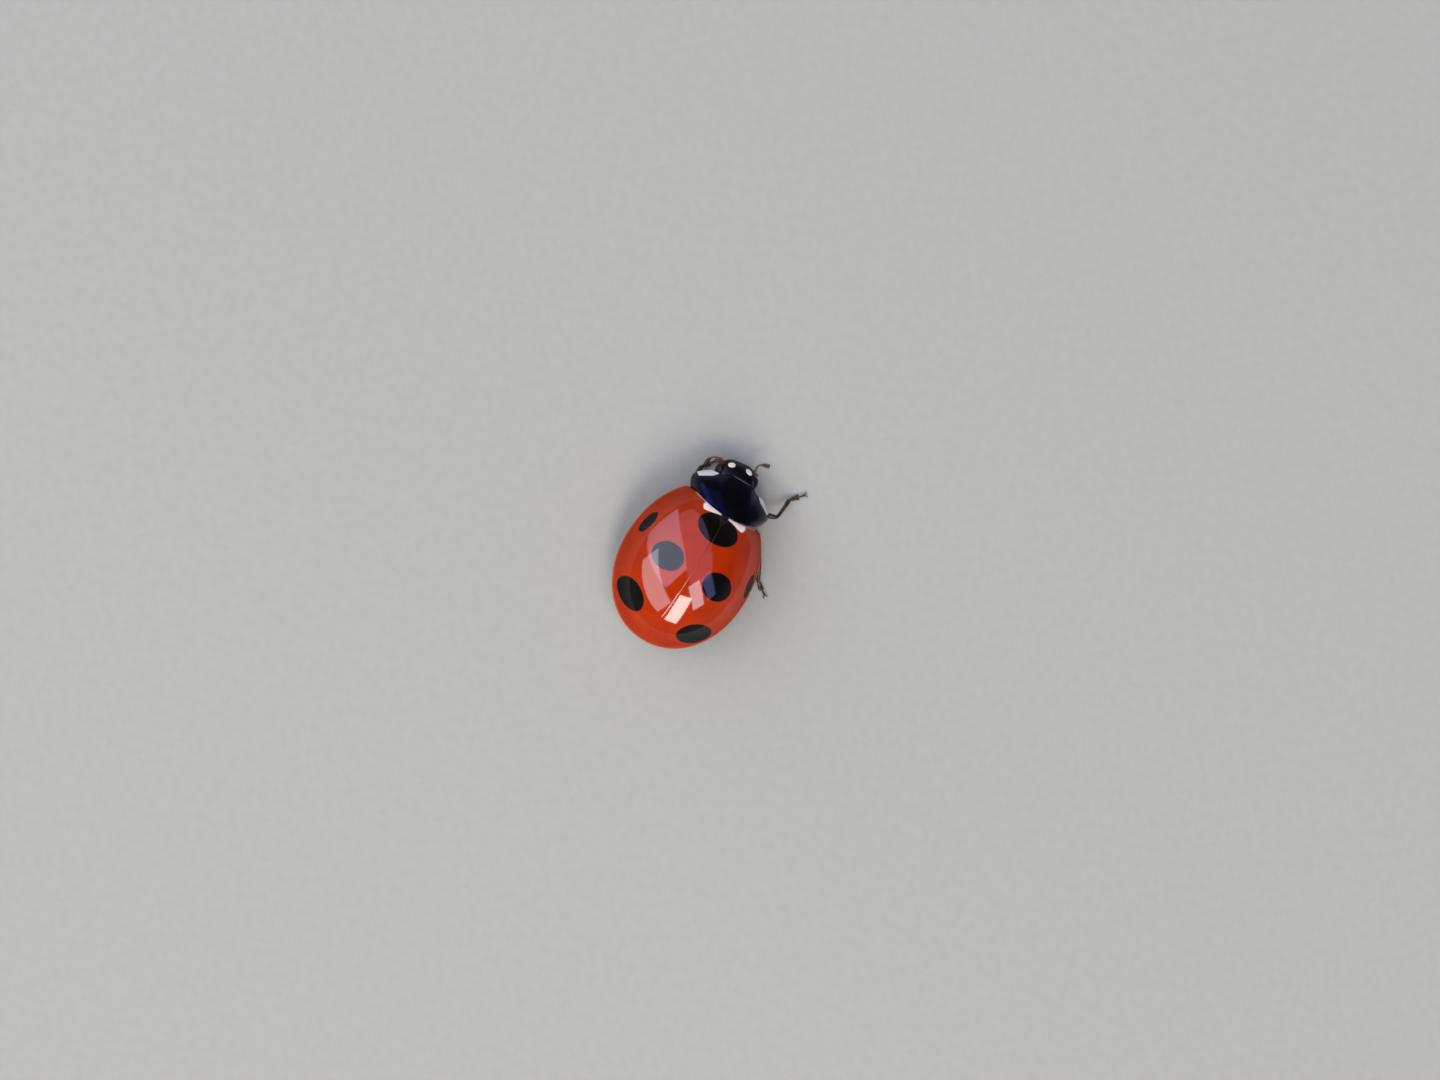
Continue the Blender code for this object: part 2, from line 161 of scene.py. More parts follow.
def paintOver(tree, colour, layers):
    # each layer is a mask and the colour that it lets through
    for mask, layer in layers:
        colour = addNode(tree, "Mix", {"data_type": "RGBA"},
                         {0: mask, 6: colour, 7: linearColour(layer)}).outputs[2]
    return colour


def pitBump(tree, place, shader, pits, grain):
    # fine pits of the cuticle, soft at their edges, with a still finer grain under them;
    # each is a spacing and a depth in millimetres
    cells = addNode(tree, "TexVoronoi", {"feature": "F1"}, {"Vector": place, "Scale": perMm(pits[0])})
    dip = rampMask(tree, cells.outputs["Distance"], 0.05, 0.35)  # from a pit's floor to its rim
    bump = addNode(tree, "Bump", None, {"Strength": 1, "Distance": pits[1] * mm, "Height": dip})
    if grain:
        noise = addNode(tree, "TexNoise", None, {"Vector": place, "Scale": perMm(grain[0]), "Detail": 3})
        bump = addNode(tree, "Bump", None, {"Strength": 1, "Distance": grain[1] * mm,
                                            "Height": noise.outputs["Fac"], "Normal": bump.outputs[0]})
    tree.links.new(bump.outputs[0], shader.inputs["Normal"])


def cuticle(name, colours, roughness, pits, grain=None, mottling=(), shine=None, paint=None):
    # insect cuticle has an IOR of 1.56; paint adds the marks of one piece over its own colour
    sockets = {"Roughness": roughness, "IOR": 1.56, **(shine or {})}
    material, tree, shader, place = startMaterial(name, sockets)
    colour = mottle(tree, place, colours, *mottling)
    if paint:
        colour = paint(tree, shader, place, colour)
    tree.links.new(colour, shader.inputs["Base Color"])
    pitBump(tree, place, shader, pits, grain)
    return material


def foldedPlace(tree, place):
    # place in millimetres, seen from above, where left and right share one half; and the height
    inMm = addNode(tree, "VectorMath", {"operation": "SCALE"}, {0: place, "Scale": 1 / mm})
    split = addNode(tree, "SeparateXYZ", None, {0: inMm.outputs[0]})
    across = addNode(tree, "Math", {"operation": "ABSOLUTE"}, {0: split.outputs["X"]}).outputs[0]
    half = addNode(tree, "CombineXYZ", None, {"X": across, "Y": split.outputs["Y"]}).outputs[0]
    return half, split.outputs["Z"]


def rampMask(tree, value, start, end, least=0, most=1):
    # from least at the start to most at the end
    return addNode(tree, "MapRange", {"interpolation_type": "SMOOTHSTEP"}, {
        "Value": value, "From Min": start, "From Max": end, "To Min": least, "To Max": most}).outputs[0]


def ovalMask(tree, half, centre, size, turn, soft):
    # 1 inside an oval, 0 outside
    local = addNode(tree, "Mapping", {"vector_type": "TEXTURE"}, {
        "Vector": half, "Location": (*centre, 0), "Rotation": (0, 0, radians(turn)), "Scale": (*size, 1)})
    reach = addNode(tree, "VectorMath", {"operation": "LENGTH"}, {0: local.outputs[0]})
    return rampMask(tree, reach.outputs["Value"], 1 + soft, 1 - soft)


def edgesMask(tree, half, edges):
    # 1 on the left of each edge, on the way from its start to its end
    masks = []
    for start, end, soft in edges:
        left = Vector((start[1] - end[1], end[0] - start[0], 0)).normalized()
        offset = left.x * start[0] + left.y * start[1]
        reach = addNode(tree, "VectorMath", {"operation": "DOT_PRODUCT"}, {0: half, 1: left})
        masks.append(rampMask(tree, reach.outputs["Value"], offset - soft, offset + soft))
    return combineMasks(tree, "MULTIPLY", masks)


def combineMasks(tree, operation, masks):
    result = masks[0]
    for mask in masks[1:]:
        result = addNode(tree, "Math", {"operation": operation}, {0: result, 1: mask}).outputs[0]
    return result


# mesh helpers: a shape is a list of points in millimetres and a list of faces

meshing = dict(
    merge=0.0003, sliver=0.0001, crease=50,  # two distances and an angle in degrees
    edgeSteps=3, thinnest=0.0015, lookAhead=0.02, podEnd=0.02, ballEnd=0.012,
)


def joinShapes(shapes):
    points, faces = [], []
    for shapePoints, shapeFaces in shapes:
        offset = len(points)
        points += shapePoints
        faces += [tuple(i + offset for i in face) for face in shapeFaces]
    return points, faces


def mirrorShape(shape):
    points, faces = shape
    return [(-p[0], p[1], p[2]) for p in points], [tuple(reversed(face)) for face in faces]


def ringOf(sides, pointAt):
    return [pointAt(2 * pi * k / sides) for k in range(sides)]


def ovalRing(sides, centre, side, up):
    return ringOf(sides, lambda angle: centre + side * cos(angle) + up * sin(angle))


def ringShape(rings):
    # closed tube through equal rings, with a fan at each end
    points = [tuple(p) for ring in rings for p in ring]
    count = len(rings[0])
    faces = []
    for i in range(len(rings) - 1):
        for j in range(count):
            k = (j + 1) % count
            faces.append((i * count + j, i * count + k, (i + 1) * count + k, (i + 1) * count + j))
    for ring, offset, step in ((rings[0], 0, -1), (rings[-1], (len(rings) - 1) * count, 1)):
        points.append(tuple(sum((Vector(p) for p in ring), Vector()) / count))
        for j in range(count):
            pair = (offset + j, offset + (j + 1) % count)[::step]
            faces.append(pair + (len(points) - 1,))
    return points, faces


def plateGrids(rows, columns, pairAt):
    # pairAt gives the outer and the inner point at a share of the rows and of the columns
    pairs = [[pairAt(i / rows, j / columns) for j in range(columns + 1)] for i in range(rows + 1)]
    return [[[pair[side] for pair in row] for row in pairs] for side in (0, 1)]


def sheetShape(outer, inner, edgeRound):
    # closed plate between two equal grids; its edges are rounded by these four shares,
    # along the first row, last column, last row and first column
    rows, columns = len(outer), len(outer[0])
    points = [tuple(p) for grid in (outer, inner) for row in grid for p in row]
    count = rows * columns
    steps = meshing["edgeSteps"]
    faces = []
    for i in range(rows - 1):
        for j in range(columns - 1):
            a = i * columns + j
            faces.append((a, a + 1, a + columns + 1, a + columns))
            faces.append((count + a, count + a + columns, count + a + columns + 1, count + a + 1))
    edge = [(0, j, 0) for j in range(columns - 1)]
    edge += [(i, columns - 1, 1) for i in range(rows - 1)]
    edge += [(rows - 1, j, 2) for j in range(columns - 1, 0, -1)]
    edge += [(i, 0, 3) for i in range(rows - 1, 0, -1)]
    chains = []
    for i, j, side in edge:
        top, bottom = Vector(outer[i][j]), Vector(inner[i][j])
        inside = Vector(outer[min(max(i, 1), rows - 2)][min(max(j, 1), columns - 2)])
        outward = (top - inside).normalized() * ((top - bottom).length / 2 * edgeRound[side])
        chain = [i * columns + j]
        for k in range(1, steps + 1):
            angle = pi * k / (steps + 1)
            chain.append(len(points))
            points.append(tuple((top + bottom) / 2 + (top - bottom) / 2 * cos(angle) + outward * sin(angle)))
        chains.append(chain + [count + i * columns + j])
    for first, second in zip(chains, chains[1:] + chains[:1]):
        for k in range(steps + 1):
            faces.append((first[k], first[k + 1], second[k + 1], second[k]))
    return points, faces


def cornerPlate(corners, rounding, steps, edgeRound, pairFrom):
    # plate between four corners, which are a little rounded; pairFrom makes the outer and the inner point
    # of a place and of how near the plate's middle it lies
    first, second, third, fourth = (Vector(corner) for corner in corners)
    middle = (first + second + third + fourth) / 4

    def pairAt(row, column):
        u, v = 2 * row - 1, 2 * column - 1
        place = first.lerp(second, column).lerp(fourth.lerp(third, column), row)
        return pairFrom(place.lerp(middle, rounding * (u * v) ** 4), (1 - u * u) * (1 - v * v))
    return sheetShape(*plateGrids(steps, steps, pairAt), edgeRound)


def pod(start, end, width, depth, blunt=6, keys=((0, 1), (1, 1)), bend=(0, 0, 0)):
    # one rounded segment of a limb: its two ends, half width, half depth and how it swells on the way
    start, end = Vector(start), Vector(end)
    axis = (end - start).normalized()
    side = axis.cross(upright).normalized()
    return {"start": start, "end": end, "axis": axis, "side": side, "up": side.cross(axis),
            "width": width, "depth": depth, "keys": keys, "blunt": blunt, "bend": Vector(bend)}


def podPoint(part, share, angle):
    centre = part["start"].lerp(part["end"], share) + part["bend"] * (4 * share * (1 - share))
    closing = max(0, 1 - abs(2 * share - 1) ** part["blunt"]) ** 0.5
    radius = curveValue(part["keys"], share) * closing
    return (centre + part["side"] * (cos(angle) * part["width"] * radius)
            + part["up"] * (sin(angle) * part["depth"] * radius))


def podShape(part, rings=22, sides=24, floor=None):
    loops = []
    for i in range(rings + 1):
        share = 0.5 - 0.5 * cos(pi * lerp(meshing["podEnd"], 1 - meshing["podEnd"], i / rings))
        loop = ringOf(sides, lambda angle: podPoint(part, share, angle))
        if floor is not None:
            loop = [(p.x, p.y, max(floor, p.z)) for p in loop]
        loops.append(loop)
    return ringShape(loops)


def podsShape(parts, *fineness):
    return joinShapes([podShape(part, *fineness) for part in parts])


def tubeShape(route, radii, rings, sides, flat=1):
    # smooth tube along a route; radii are (share, radius) keys
    loops = []
    look = meshing["lookAhead"]
    for i in range(rings + 1):
        share = i / rings
        centre = routePoint(route, share)
        axis = routePoint(route, min(1, share + look)) - routePoint(route, max(0, share - look))
        side = axis.cross(upright).normalized()
        up = side.cross(axis.normalized())
        radius = max(meshing["thinnest"], curveValue(radii, share))
        loops.append(ovalRing(sides, centre, side * radius, up * (radius * flat)))
    return ringShape(loops)


def ballShape(centre, size, rings=36, sides=56):
    loops = []
    for i in range(rings + 1):
        tilt = pi * lerp(meshing["ballEnd"], 1 - meshing["ballEnd"], i / rings)
        loops.append(ringOf(sides, lambda angle: (
            centre[0] + size[0] * cos(tilt), centre[1] + size[1] * sin(tilt) * cos(angle),
            centre[2] + size[2] * sin(tilt) * sin(angle))))
    return ringShape(loops)


def newMesh(name, points, faces):
    mesh = bpy.data.meshes.new(name)
    mesh.from_pydata([tuple(value * mm for value in point) for point in points], [], faces)
    return mesh


def finishPiece(mesh, material, nodes, place):
    piece = addObject(mesh.name, mesh)
    piece.matrix_world = place
    mesh.materials.append(material)
    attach(piece, "root")
    if nodes:
        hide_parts(*nodes)


def makePiece(name, shape, material, nodes=(), place=bodyPlace):
    mesh = newMesh(name, *shape)
    bm = bmesh.new()
    bm.from_mesh(mesh)
    bmesh.ops.remove_doubles(bm, verts=bm.verts, dist=meshing["merge"] * mm)
    bmesh.ops.dissolve_degenerate(bm, edges=bm.edges, dist=meshing["sliver"] * mm)
    bmesh.ops.recalc_face_normals(bm, faces=bm.faces)
    bm.to_mesh(mesh)
    bm.free()
    mesh.shade_smooth()
    mesh.set_sharp_from_angle(angle=radians(meshing["crease"]))
    finishPiece(mesh, material, nodes, place)


# hairs: three-sided, with one joint on the way, sagging a little, each with a small patch of the unwrap
hairForm = dict(
    joint=(0.55, 0.72), sag=0.12, sideways=(0.3, 0.2, 1), patch=0.0015, patchTurn=2.1,
    sway=0.15, lengths=(0.7, 1.15), span=(0.05, 0.95), facing=0.2,
)


def makeHairs(name, hairs, material, place=bodyPlace):
    # each hair is (root, direction, length, radius, u, v); u and v say where its root lies on the unwrap
    points, faces, corners = [], [], []
    patch, turn = hairForm["patch"], hairForm["patchTurn"]
    for root, direction, length, radius, u, v in hairs:
        side = direction.cross(Vector(hairForm["sideways"])).normalized()
        other = side.cross(direction)
        sag = upright * (-hairForm["sag"] * length)
        first = len(points)
        for share, width in ((0, 1), hairForm["joint"]):
            centre = root + direction * (length * share) + sag * share * share
            points += ovalRing(3, centre, side * (radius * width), other * (radius * width))
            corners += [(u + patch * cos(turn * k), v + patch * sin(turn * k)) for k in range(3)]
        points.append(root + direction * length + sag)
        corners.append((u, v))
        for k in range(3):
            n = (k + 1) % 3
            faces.append((first + k, first + n, first + 3 + n, first + 3 + k))
            faces.append((first + 3 + k, first + 3 + n, first + 6))
        faces.append((first + 2, first + 1, first))
    mesh = newMesh(name, points, faces)
    layer = mesh.uv_layers.new(name="OFBake")
    for loop in mesh.loops:
        layer.data[loop.index].uv = corners[loop.vertex_index]
    mesh.shade_smooth()
    finishPiece(mesh, material, (), place)


def podHairs(part, count, length, radius, lean, chance, cell, cells, facing=None):
    # hairs over one limb segment; lean is how far they lie along it, cell its own band of the unwrap
    hairs = []
    for _ in range(count):
        share = chance.uniform(*hairForm["span"])
        turn = chance.random()
        angle = 2 * pi * turn
        out = part["side"] * (cos(angle) / part["width"]) + part["up"] * (sin(angle) / part["depth"])
        out.normalize()
        if facing and out.dot(Vector(facing)) < hairForm["facing"]:
            continue
        sway = Vector([chance.uniform(-hairForm["sway"], hairForm["sway"]) for _ in range(3)])
        direction = (out * (1 - lean) + part["axis"] * lean + sway).normalized()
        hairs.append((podPoint(part, share, angle) - out * radius, direction,
                      length * chance.uniform(*hairForm["lengths"]), radius,
                      lerp(0.02, 0.98, turn), (cell + lerp(0.1, 0.9, share)) / cells))
    return hairs


# studio: pale floor, soft light and the camera

studio = dict(
    floorHalf=900, floorColours=("#A8A89F", "#A4A49A"),
    wallRadiance=0.2, ceilingRadiance=0.03, wallTop=0.7, roomColour="#F2F5FA",
    boxDistance=600,
    # direction from the animal, direction of the long side, two sides in mm, radiance, colour
    softBoxes=dict(
        mainBox=((0.7, -0.09, 0.71), (0.62, -0.41, -0.67), 1119, 401, 2, "#DFE4FF"),
        rearBox=((0.5, 0.49, 0.715), (0.82, -0.54, -0.17), 840, 290, 3, "#F4F6FF"),
        frontBox=((0.17, -0.41, 0.9), (0.78, -0.51, -0.38), 1119, 310, 0.7, "#D2D0FF"),
        smallBox=((-0.33, 0.63, 0.7), (-0.02, 0.42, -0.42), 413, 179, 10, "#FFFBF2"),
        stripBox=((-0.49, 0.25, 0.83), (-0.39, 0.26, -0.31), 344, 137, 4.5, "#FFF6FF"),
        sideBox=((-0.61, 0.03, 0.79), (-0.72, 0.39, -0.57), 320, 100, 1.6, "#9AA9FF"),
    ),
)


def addSoftBox(name, direction, longSide, width, height, radiance, colour):
    data = bpy.data.lights.new(name, "AREA")
    data.shape = "RECTANGLE"
    data.size = width * mm
    data.size_y = height * mm
    data.energy = radiance * pi * data.size * data.size_y
    data.color = linearColour(colour)[:3]
    back = Vector(direction).normalized()
    up = back.cross(Vector(longSide)).normalized()
    place = axesPlace(back * studio["boxDistance"] * mm, up.cross(back), up, back)
    addObject(name, data).matrix_world = place


def makeStudio():
    for name, settings in studio["softBoxes"].items():
        addSoftBox(name, *settings)
    world = bpy.data.worlds.new("studioRoom")
    world.use_nodes = True
    scene.world = world
    tree = world.node_tree
    background = tree.nodes["Background"]
    direction = addNode(tree, "TexCoord").outputs["Generated"]
    height = addNode(tree, "SeparateXYZ", None, {0: direction}).outputs["Z"]
    strength = rampMask(tree, height, 0, studio["wallTop"], studio["wallRadiance"], studio["ceilingRadiance"])
    background.inputs["Color"].default_value = linearColour(studio["roomColour"])
    tree.links.new(strength, background.inputs["Strength"])
    # pale plaster board, cast and sanded: matt, with the faintest specks
    material, tree, shader, place = startMaterial("sandedPlasterBoard", {
        "Roughness": 0.85, "IOR": 1.5, "Specular IOR Level": 0.25})
    tree.links.new(mottle(tree, place, studio["floorColours"]), shader.inputs["Base Color"])
    half = studio["floorHalf"]
    corners = [(-half, -half, 0), (half, -half, 0), (half, half, 0), (-half, half, 0)]
    mesh = newMesh("floorBoard", corners, [(0, 1, 2, 3)])
    mesh.materials.append(material)
    addObject("floorBoard", mesh)
    scene.view_settings.view_transform = "Standard"


camera = dict(
    right=(-0.8315, -0.532, 0.1597), up=(0.5359, -0.844, -0.0213),
    aimRight=1.281, aimUp=1.056, distance=105.2, lens=70, sensor=36,
    nearest=1, farthest=20000,
)


def makeCamera():
    data = bpy.data.cameras.new("camera")
    data.lens = camera["lens"]
    data.sensor_width = camera["sensor"]
    data.clip_start = camera["nearest"] * mm
    data.clip_end = camera["farthest"] * mm
    right, up = Vector(camera["right"]), Vector(camera["up"])
    back = right.cross(up).normalized()
    up = back.cross(right).normalized()
    right = up.cross(back)
    aim = upright * shell["marginHeight"] + right * camera["aimRight"] + up * camera["aimUp"]
    spot = bodyPlace @ ((aim + back * camera["distance"]) * mm)
    scene.camera = addObject("camera", data)
    scene.camera.matrix_world = axesPlace(spot, right, up, back)


makeStudio()
makeCamera()
print("studio done")


# wing cases

elytra = dict(
    notchHalf=0.17, notchDepth=0.36, sutureGap=0.003, thickness=0.13, topGap=0.006,
    rimWidth=0.05, rimRise=0.06, baseCurl=0.035, baseCurlLength=0.06, baseThinning=0.3,
    sutureBevel=0.005, sutureBevelWidth=0.007,
    bump=(1.62, -1.78), bumpHeight=0.035, bumpWidth=0.3, bumpSquash=0.7,
    columns=104, rows=150, planRounds=24,
    fineColumns=(0, 0.0015, 0.004), fineRows=(0, 0.002, 0.005, 0.009),
    # section of the rim: share of its width outward, height over the margin
    rimSection=((0.3, 0.058), (0.62, 0.066), (0.86, 0.062), (0.98, 0.04), (1, 0.018),
                (0.92, -0.004), (0.7, -0.014)),
    # hem folded in under the rim: its width, where it starts and ends, how it dips and rises
    hemFront=0.44, hemRear=0.1, hemLeast=0.02, hemTaper=0.8, hemStart=0.3, hemDip=0.012,
    hemLift=0.05, hemTop=0.075, hemInside=0.1, hemShares=(0.1, 0.3, 0.5, 0.7, 0.85, 0.95, 1),
    # the second colour is a painted highlight along the lowest band of the rim
    # the third colour is a painted highlight along the base edge
    marginOrange="#AD3504", paintedRimHighlight="#BC5228", paintedBaseHighlight="#E8B59A", spotBlack="#090504", ivory="#FFF0DE",
    # Hardened wing case: red carotenoid and black melanin under a clear waxy coat that was never polished,
    # so it shows deep colour, a sharp soft-edged shine and very fine pits.
    cuticle=dict(colours=("#AA2E01", "#992301"), roughness=0.34, pits=(0.055, 0.0012),
                 mottling=(0.8, 0.3, 0.75),
                 shine={"Specular IOR Level": 0, "Coat Roughness": 0.07, "Coat IOR": 1.7}),
    wobbleSize=0.45, wobble=0.05,  # how the borders of the colours waver
    # heights where the clear coat thins, the red turns orange, the painted rim highlight starts and the spots
    # stop
    coat=(1.7, 2.9, 0.18), orange=(1.42, 1.1, 0, 0.75), rimHighlightHeights=(1.145, 1.105), spotFloor=(1.15, 1.21),
    # spots on one side: centre, half length along each axis, turn in degrees, softness
    spots=(((1.08, 0.08), (0.6, 0.53), 0, 0.035), ((1.41, 1.96), (0.7, 0.37), 146, 0.035),
           ((2.25, -0.65), (0.49, 0.14), 79, 0.035), ((0, -1.75), (0.83, 0.56), 0, 0.035)),
    # painted highlight along the base edge, and the white patch beside the scutellum
    baseHighlightEdges=(((1.35, -2.53), (0.6, -2.31), 0.02), ((1.3, -2.6), (1.3, -2), 0.08)),
    patchEdges=(((0.86, -2.12), (0.12, -2.28), 0.02),), patchOval=((0.38, -2.34), (0.54, 0.3), 8, 0.07),
)


def planShare(y, inset):
    reach = (shell["frontReach"] if y < 0 else shell["rearReach"]) - inset
    return max(0, 1 - (abs(y) / reach) ** shell["planPower"])


def planHalf(y, inset):
    return (shell["halfWidth"] - inset) * planShare(y, inset) ** (1 / shell["planPower"])


def domeRise(x, y, inset, lower=0):
    # height above the margin of the dome, drawn in by inset in plan and by lower at the top
    left = planShare(y, inset) - (abs(x) / (shell["halfWidth"] - inset)) ** shell["planPower"]
    return (shell["domeHeight"] - lower) * max(0, left) ** (1 / shell["risePower"])


def planNormal(x, y):
    reach = shell["frontReach"] if y < 0 else shell["rearReach"]
    power = shell["planPower"] - 1
    across = (abs(x) / shell["halfWidth"]) ** power / shell["halfWidth"]
    return Vector((across, copysign((abs(y) / reach) ** power / reach, y), 0)).normalized()


def hemShare(y):
    return smoothStep(shell["hemFrom"], shell["hemTo"], y)


def baseLine(x):
    gap = elytra["sutureGap"]
    notch = max(0, 1 - (x - gap) / (elytra["notchHalf"] - gap))
    shoulder = shell["shoulderRound"] * max(0, x - shell["shoulderStart"]) ** 2
    return shell["baseY"] - shell["baseCurve"] * x * x + elytra["notchDepth"] * notch + shoulder


def elytronPlan(column, along, inset):
    start, rear = elytra["sutureGap"], shell["rearReach"] - inset
    edge = start
    for _ in range(elytra["planRounds"]):  # closes in on the margin, which the line itself depends on
        edge = max(start, planHalf(lerp(baseLine(edge), rear, along), inset))
    x = lerp(start, edge, sin(column * pi / 2))
    return x, lerp(baseLine(x), rear, along)


def elytronRow(along, columns):
    # from the seam over the back and round the rim to the end of the hem, then the same inside
    wide, rise, thick = elytra["rimWidth"], elytra["rimRise"], elytra["thickness"]
    base = shell["marginHeight"]
    outer, inner = [], []
    for column in columns:
        x, y = elytronPlan(column, along, wide)
        z = hypot(domeRise(x, y, wide, elytra["topGap"]), rise)
        z -= elytra["baseCurl"] * exp(-max(0, y - baseLine(x)) / elytra["baseCurlLength"])
        z -= elytra["sutureBevel"] * exp(-(x - elytra["sutureGap"]) / elytra["sutureBevelWidth"])
        away = hypot(x - elytra["bump"][0], (y - elytra["bump"][1]) * elytra["bumpSquash"])
        z += elytra["bumpHeight"] * bell(away, elytra["bumpWidth"])
        outer.append((x, y, base + max(z, rise)))
        x, y = elytronPlan(column, along, wide + thick)
        z = hypot(domeRise(x, y, wide + thick, thick), rise + thick)
        inner.append((x, y, base + z - elytra["baseThinning"] * thick * (1 - along)))
    margin = Vector((*outer[-1][:2], base))
    out = planNormal(margin.x, margin.y)
    hem = lerp(elytra["hemFront"], elytra["hemRear"], hemShare(margin.y))
    hem = min(hem, max(elytra["hemLeast"], margin.x * elytra["hemTaper"]))
    outer += [margin + out * (wide * reach) + upright * height for reach, height in elytra["rimSection"]]
    outer += [margin + out * lerp(elytra["hemStart"] * wide, -hem, share)
              + upright * (elytra["hemLift"] * share * share - elytra["hemDip"])
              for share in elytra["hemShares"]]
    start = Vector((*inner[-1][:2], base + elytra["hemInside"]))
    end = margin - out * hem + upright * elytra["hemTop"]
    steps = len(outer) - len(inner) - 1
    inner += [start.lerp(end, k / steps) for k in range(steps + 1)]
    return outer, inner


def elytronGrids():
    columns = [*elytra["fineColumns"], *(j / elytra["columns"] for j in range(1, elytra["columns"] + 1))]
    rows = [*elytra["fineRows"], *(i / elytra["rows"] for i in range(2, elytra["rows"] + 1))]
    return zip(*(elytronRow(sin(row * pi / 2), columns) for row in rows))


def paintElytron(tree, shader, place, colour):
    scale = perMm(elytra["wobbleSize"])
    noise = addNode(tree, "TexNoise", None, {"Vector": place, "Scale": scale, "Detail": 3})
    centred = addNode(tree, "VectorMath", {"operation": "SUBTRACT"},
                      {0: noise.outputs["Color"], 1: (0.5, 0.5, 0.5)})
    reach = elytra["wobble"] * mm
    moved = addNode(tree, "VectorMath", {"operation": "MULTIPLY_ADD"},
                    {0: centred.outputs[0], 1: (reach, reach, 0), 2: place})
    half, height = foldedPlace(tree, moved.outputs[0])
    tree.links.new(rampMask(tree, height, *elytra["coat"]), shader.inputs["Coat Weight"])
    spots = combineMasks(tree, "MAXIMUM", [ovalMask(tree, half, *spot) for spot in elytra["spots"]])
    return paintOver(tree, colour, [
        (rampMask(tree, height, *elytra["orange"]), elytra["marginOrange"]),
        # painted highlight along the lowest band of the rim
        (rampMask(tree, height, *elytra["rimHighlightHeights"]), elytra["paintedRimHighlight"]),
        # painted highlight along the base edge, beside the shield's hind edge
        (edgesMask(tree, half, elytra["baseHighlightEdges"]), elytra["paintedBaseHighlight"]),
        (combineMasks(tree, "MULTIPLY", [spots, rampMask(tree, height, *elytra["spotFloor"])]),
         elytra["spotBlack"]),
        (combineMasks(tree, "MULTIPLY", [ovalMask(tree, half, *elytra["patchOval"]),
                                         edgesMask(tree, half, elytra["patchEdges"])]), elytra["ivory"])])


def makeElytra():
    # flat where the two cases meet, rounded at the base and at the folded hem
    shape = sheetShape(*elytronGrids(), edgeRound=(0.8, 0.8, 0, 0))
    material = cuticle("sclerotisedWingCase", **elytra["cuticle"], paint=paintElytron)
    makePiece("wingCaseLeft", shape, material, ["elytron_left"])
    makePiece("wingCaseRight", mirrorShape(shape), material, ["elytron_right"])


makeElytra()
print("wing cases done")


# scutellum, the small plate between the wing cases

scutellum = dict(
    half=0.145, taper=1.25, tip=0.004, front=-2.36, length=0.34, thickness=0.12,
    crown=0.012, sink=0.025, steps=20,
)

# Body plates: melanised cuticle, netted with cell outlines, so black with a soft grey shine
plateBlack = cuticle("melanisedBodyPlate", ("#0E0B0A", "#17110E"), 0.34, (0.05, 0.004), (0.012, 0.0012))


def scutellumPair(row, column):
    half = scutellum["half"] * (1 - row ** scutellum["taper"]) + scutellum["tip"]
    y = scutellum["front"] + scutellum["length"] * row
    z = (shell["marginHeight"] + domeRise(0, y, elytra["rimWidth"])
         + scutellum["crown"] * (1 - (2 * column - 1) ** 2) - scutellum["sink"])
    return [(lerp(-half, half, column), y, z - drop) for drop in (0, scutellum["thickness"])]


scutellumGrids = plateGrids(scutellum["steps"], scutellum["steps"], scutellumPair)
makePiece("scutellum", sheetShape(*scutellumGrids, edgeRound=(0.1,) * 4), plateBlack,
          ["scutellum"])


# pronotum, the shield over the neck, with its own turn, and the fore breast under it

pronotum = dict(
    pivotY=-2.36, yaw=2.5,
    hindCurve=0.155, frontY=-3.66, frontBulge=0.2, bulgeStart=0.42, bulgeEnd=0.82,
    hindHalf=1.5, halfSlope=0.918, halfCurve=1.238,
    crown=2.58, crownSlope=0.3, crownCurve=0.43, sideHeight=1.15, planPower=2.3, risePower=0.6,
    thickness=0.11, columns=110, rows=56,
    # raised border, with a faint groove inside it
    beadHeight=0.012, beadWidth=0.035, beadSides=1.5, beadHind=0.02, groove=0.7,
    # Shield: the same hard cuticle, black, with ivory corners where the pigment is missing;
    # thin layers in it throw back blue from a pale sky or lamp.
    cuticle=dict(colours=("#060606", "#0A0808"), roughness=0.17, pits=(0.05, 0.0011), mottling=(0.5,),
                 shine={"Specular IOR Level": 0.27, "Specular Tint": linearColour("#5F78FF")}),
    ivory="#E4E0D4", frontLine="#5A565C",
    # fine pale line just behind the front edge, and the ivory corners
    lineEdges=(((0.75, -1.47), (0, -1.47), 0.008), ((0, -1.497), (0.75, -1.497), 0.008),
               ((0.36, -2), (0.36, -1), 0.12)),
    cornerEdges=(((1.58, -0.81), (0.8, -1.25), 0.02), ((1.64, -1.04), (1.44, -0.8), 0.02),
                 ((1.05, -1.1), (0.82, -1.36), 0.02), ((0.85, -1.1), (0.78, -1.6), 0.02)),
)

foreBreast = dict(
    # how far forward of the shield's hind edge, half width there
    stations=((0.02, 0.3), (0.08, 0.58), (0.14, 0.8), (0.22, 1.02), (0.32, 1.24), (0.45, 1.4),
              (0.6, 1.48), (0.76, 1.46), (0.89, 1.34), (0.98, 1.12), (1.03, 0.84)),
    sides=72, fullness=0.87, gap=0.015, depth=0.25, roofPower=0.35, keelPower=1.2,
)

forePlace = turnedPlace(0, pronotum["pivotY"], pronotum["yaw"])


def pronotumHalf(row, inset):
    return pronotum["hindHalf"] + pronotum["halfSlope"] * row - pronotum["halfCurve"] * row * row - inset


def pronotumHeight(across, row, inset):
    crown = pronotum["crown"] - pronotum["crownSlope"] * row - pronotum["crownCurve"] * row * row - inset
    rise = max(0, 1 - abs(across) ** pronotum["planPower"]) ** pronotum["risePower"]
    return lerp(pronotum["sideHeight"], crown, rise)


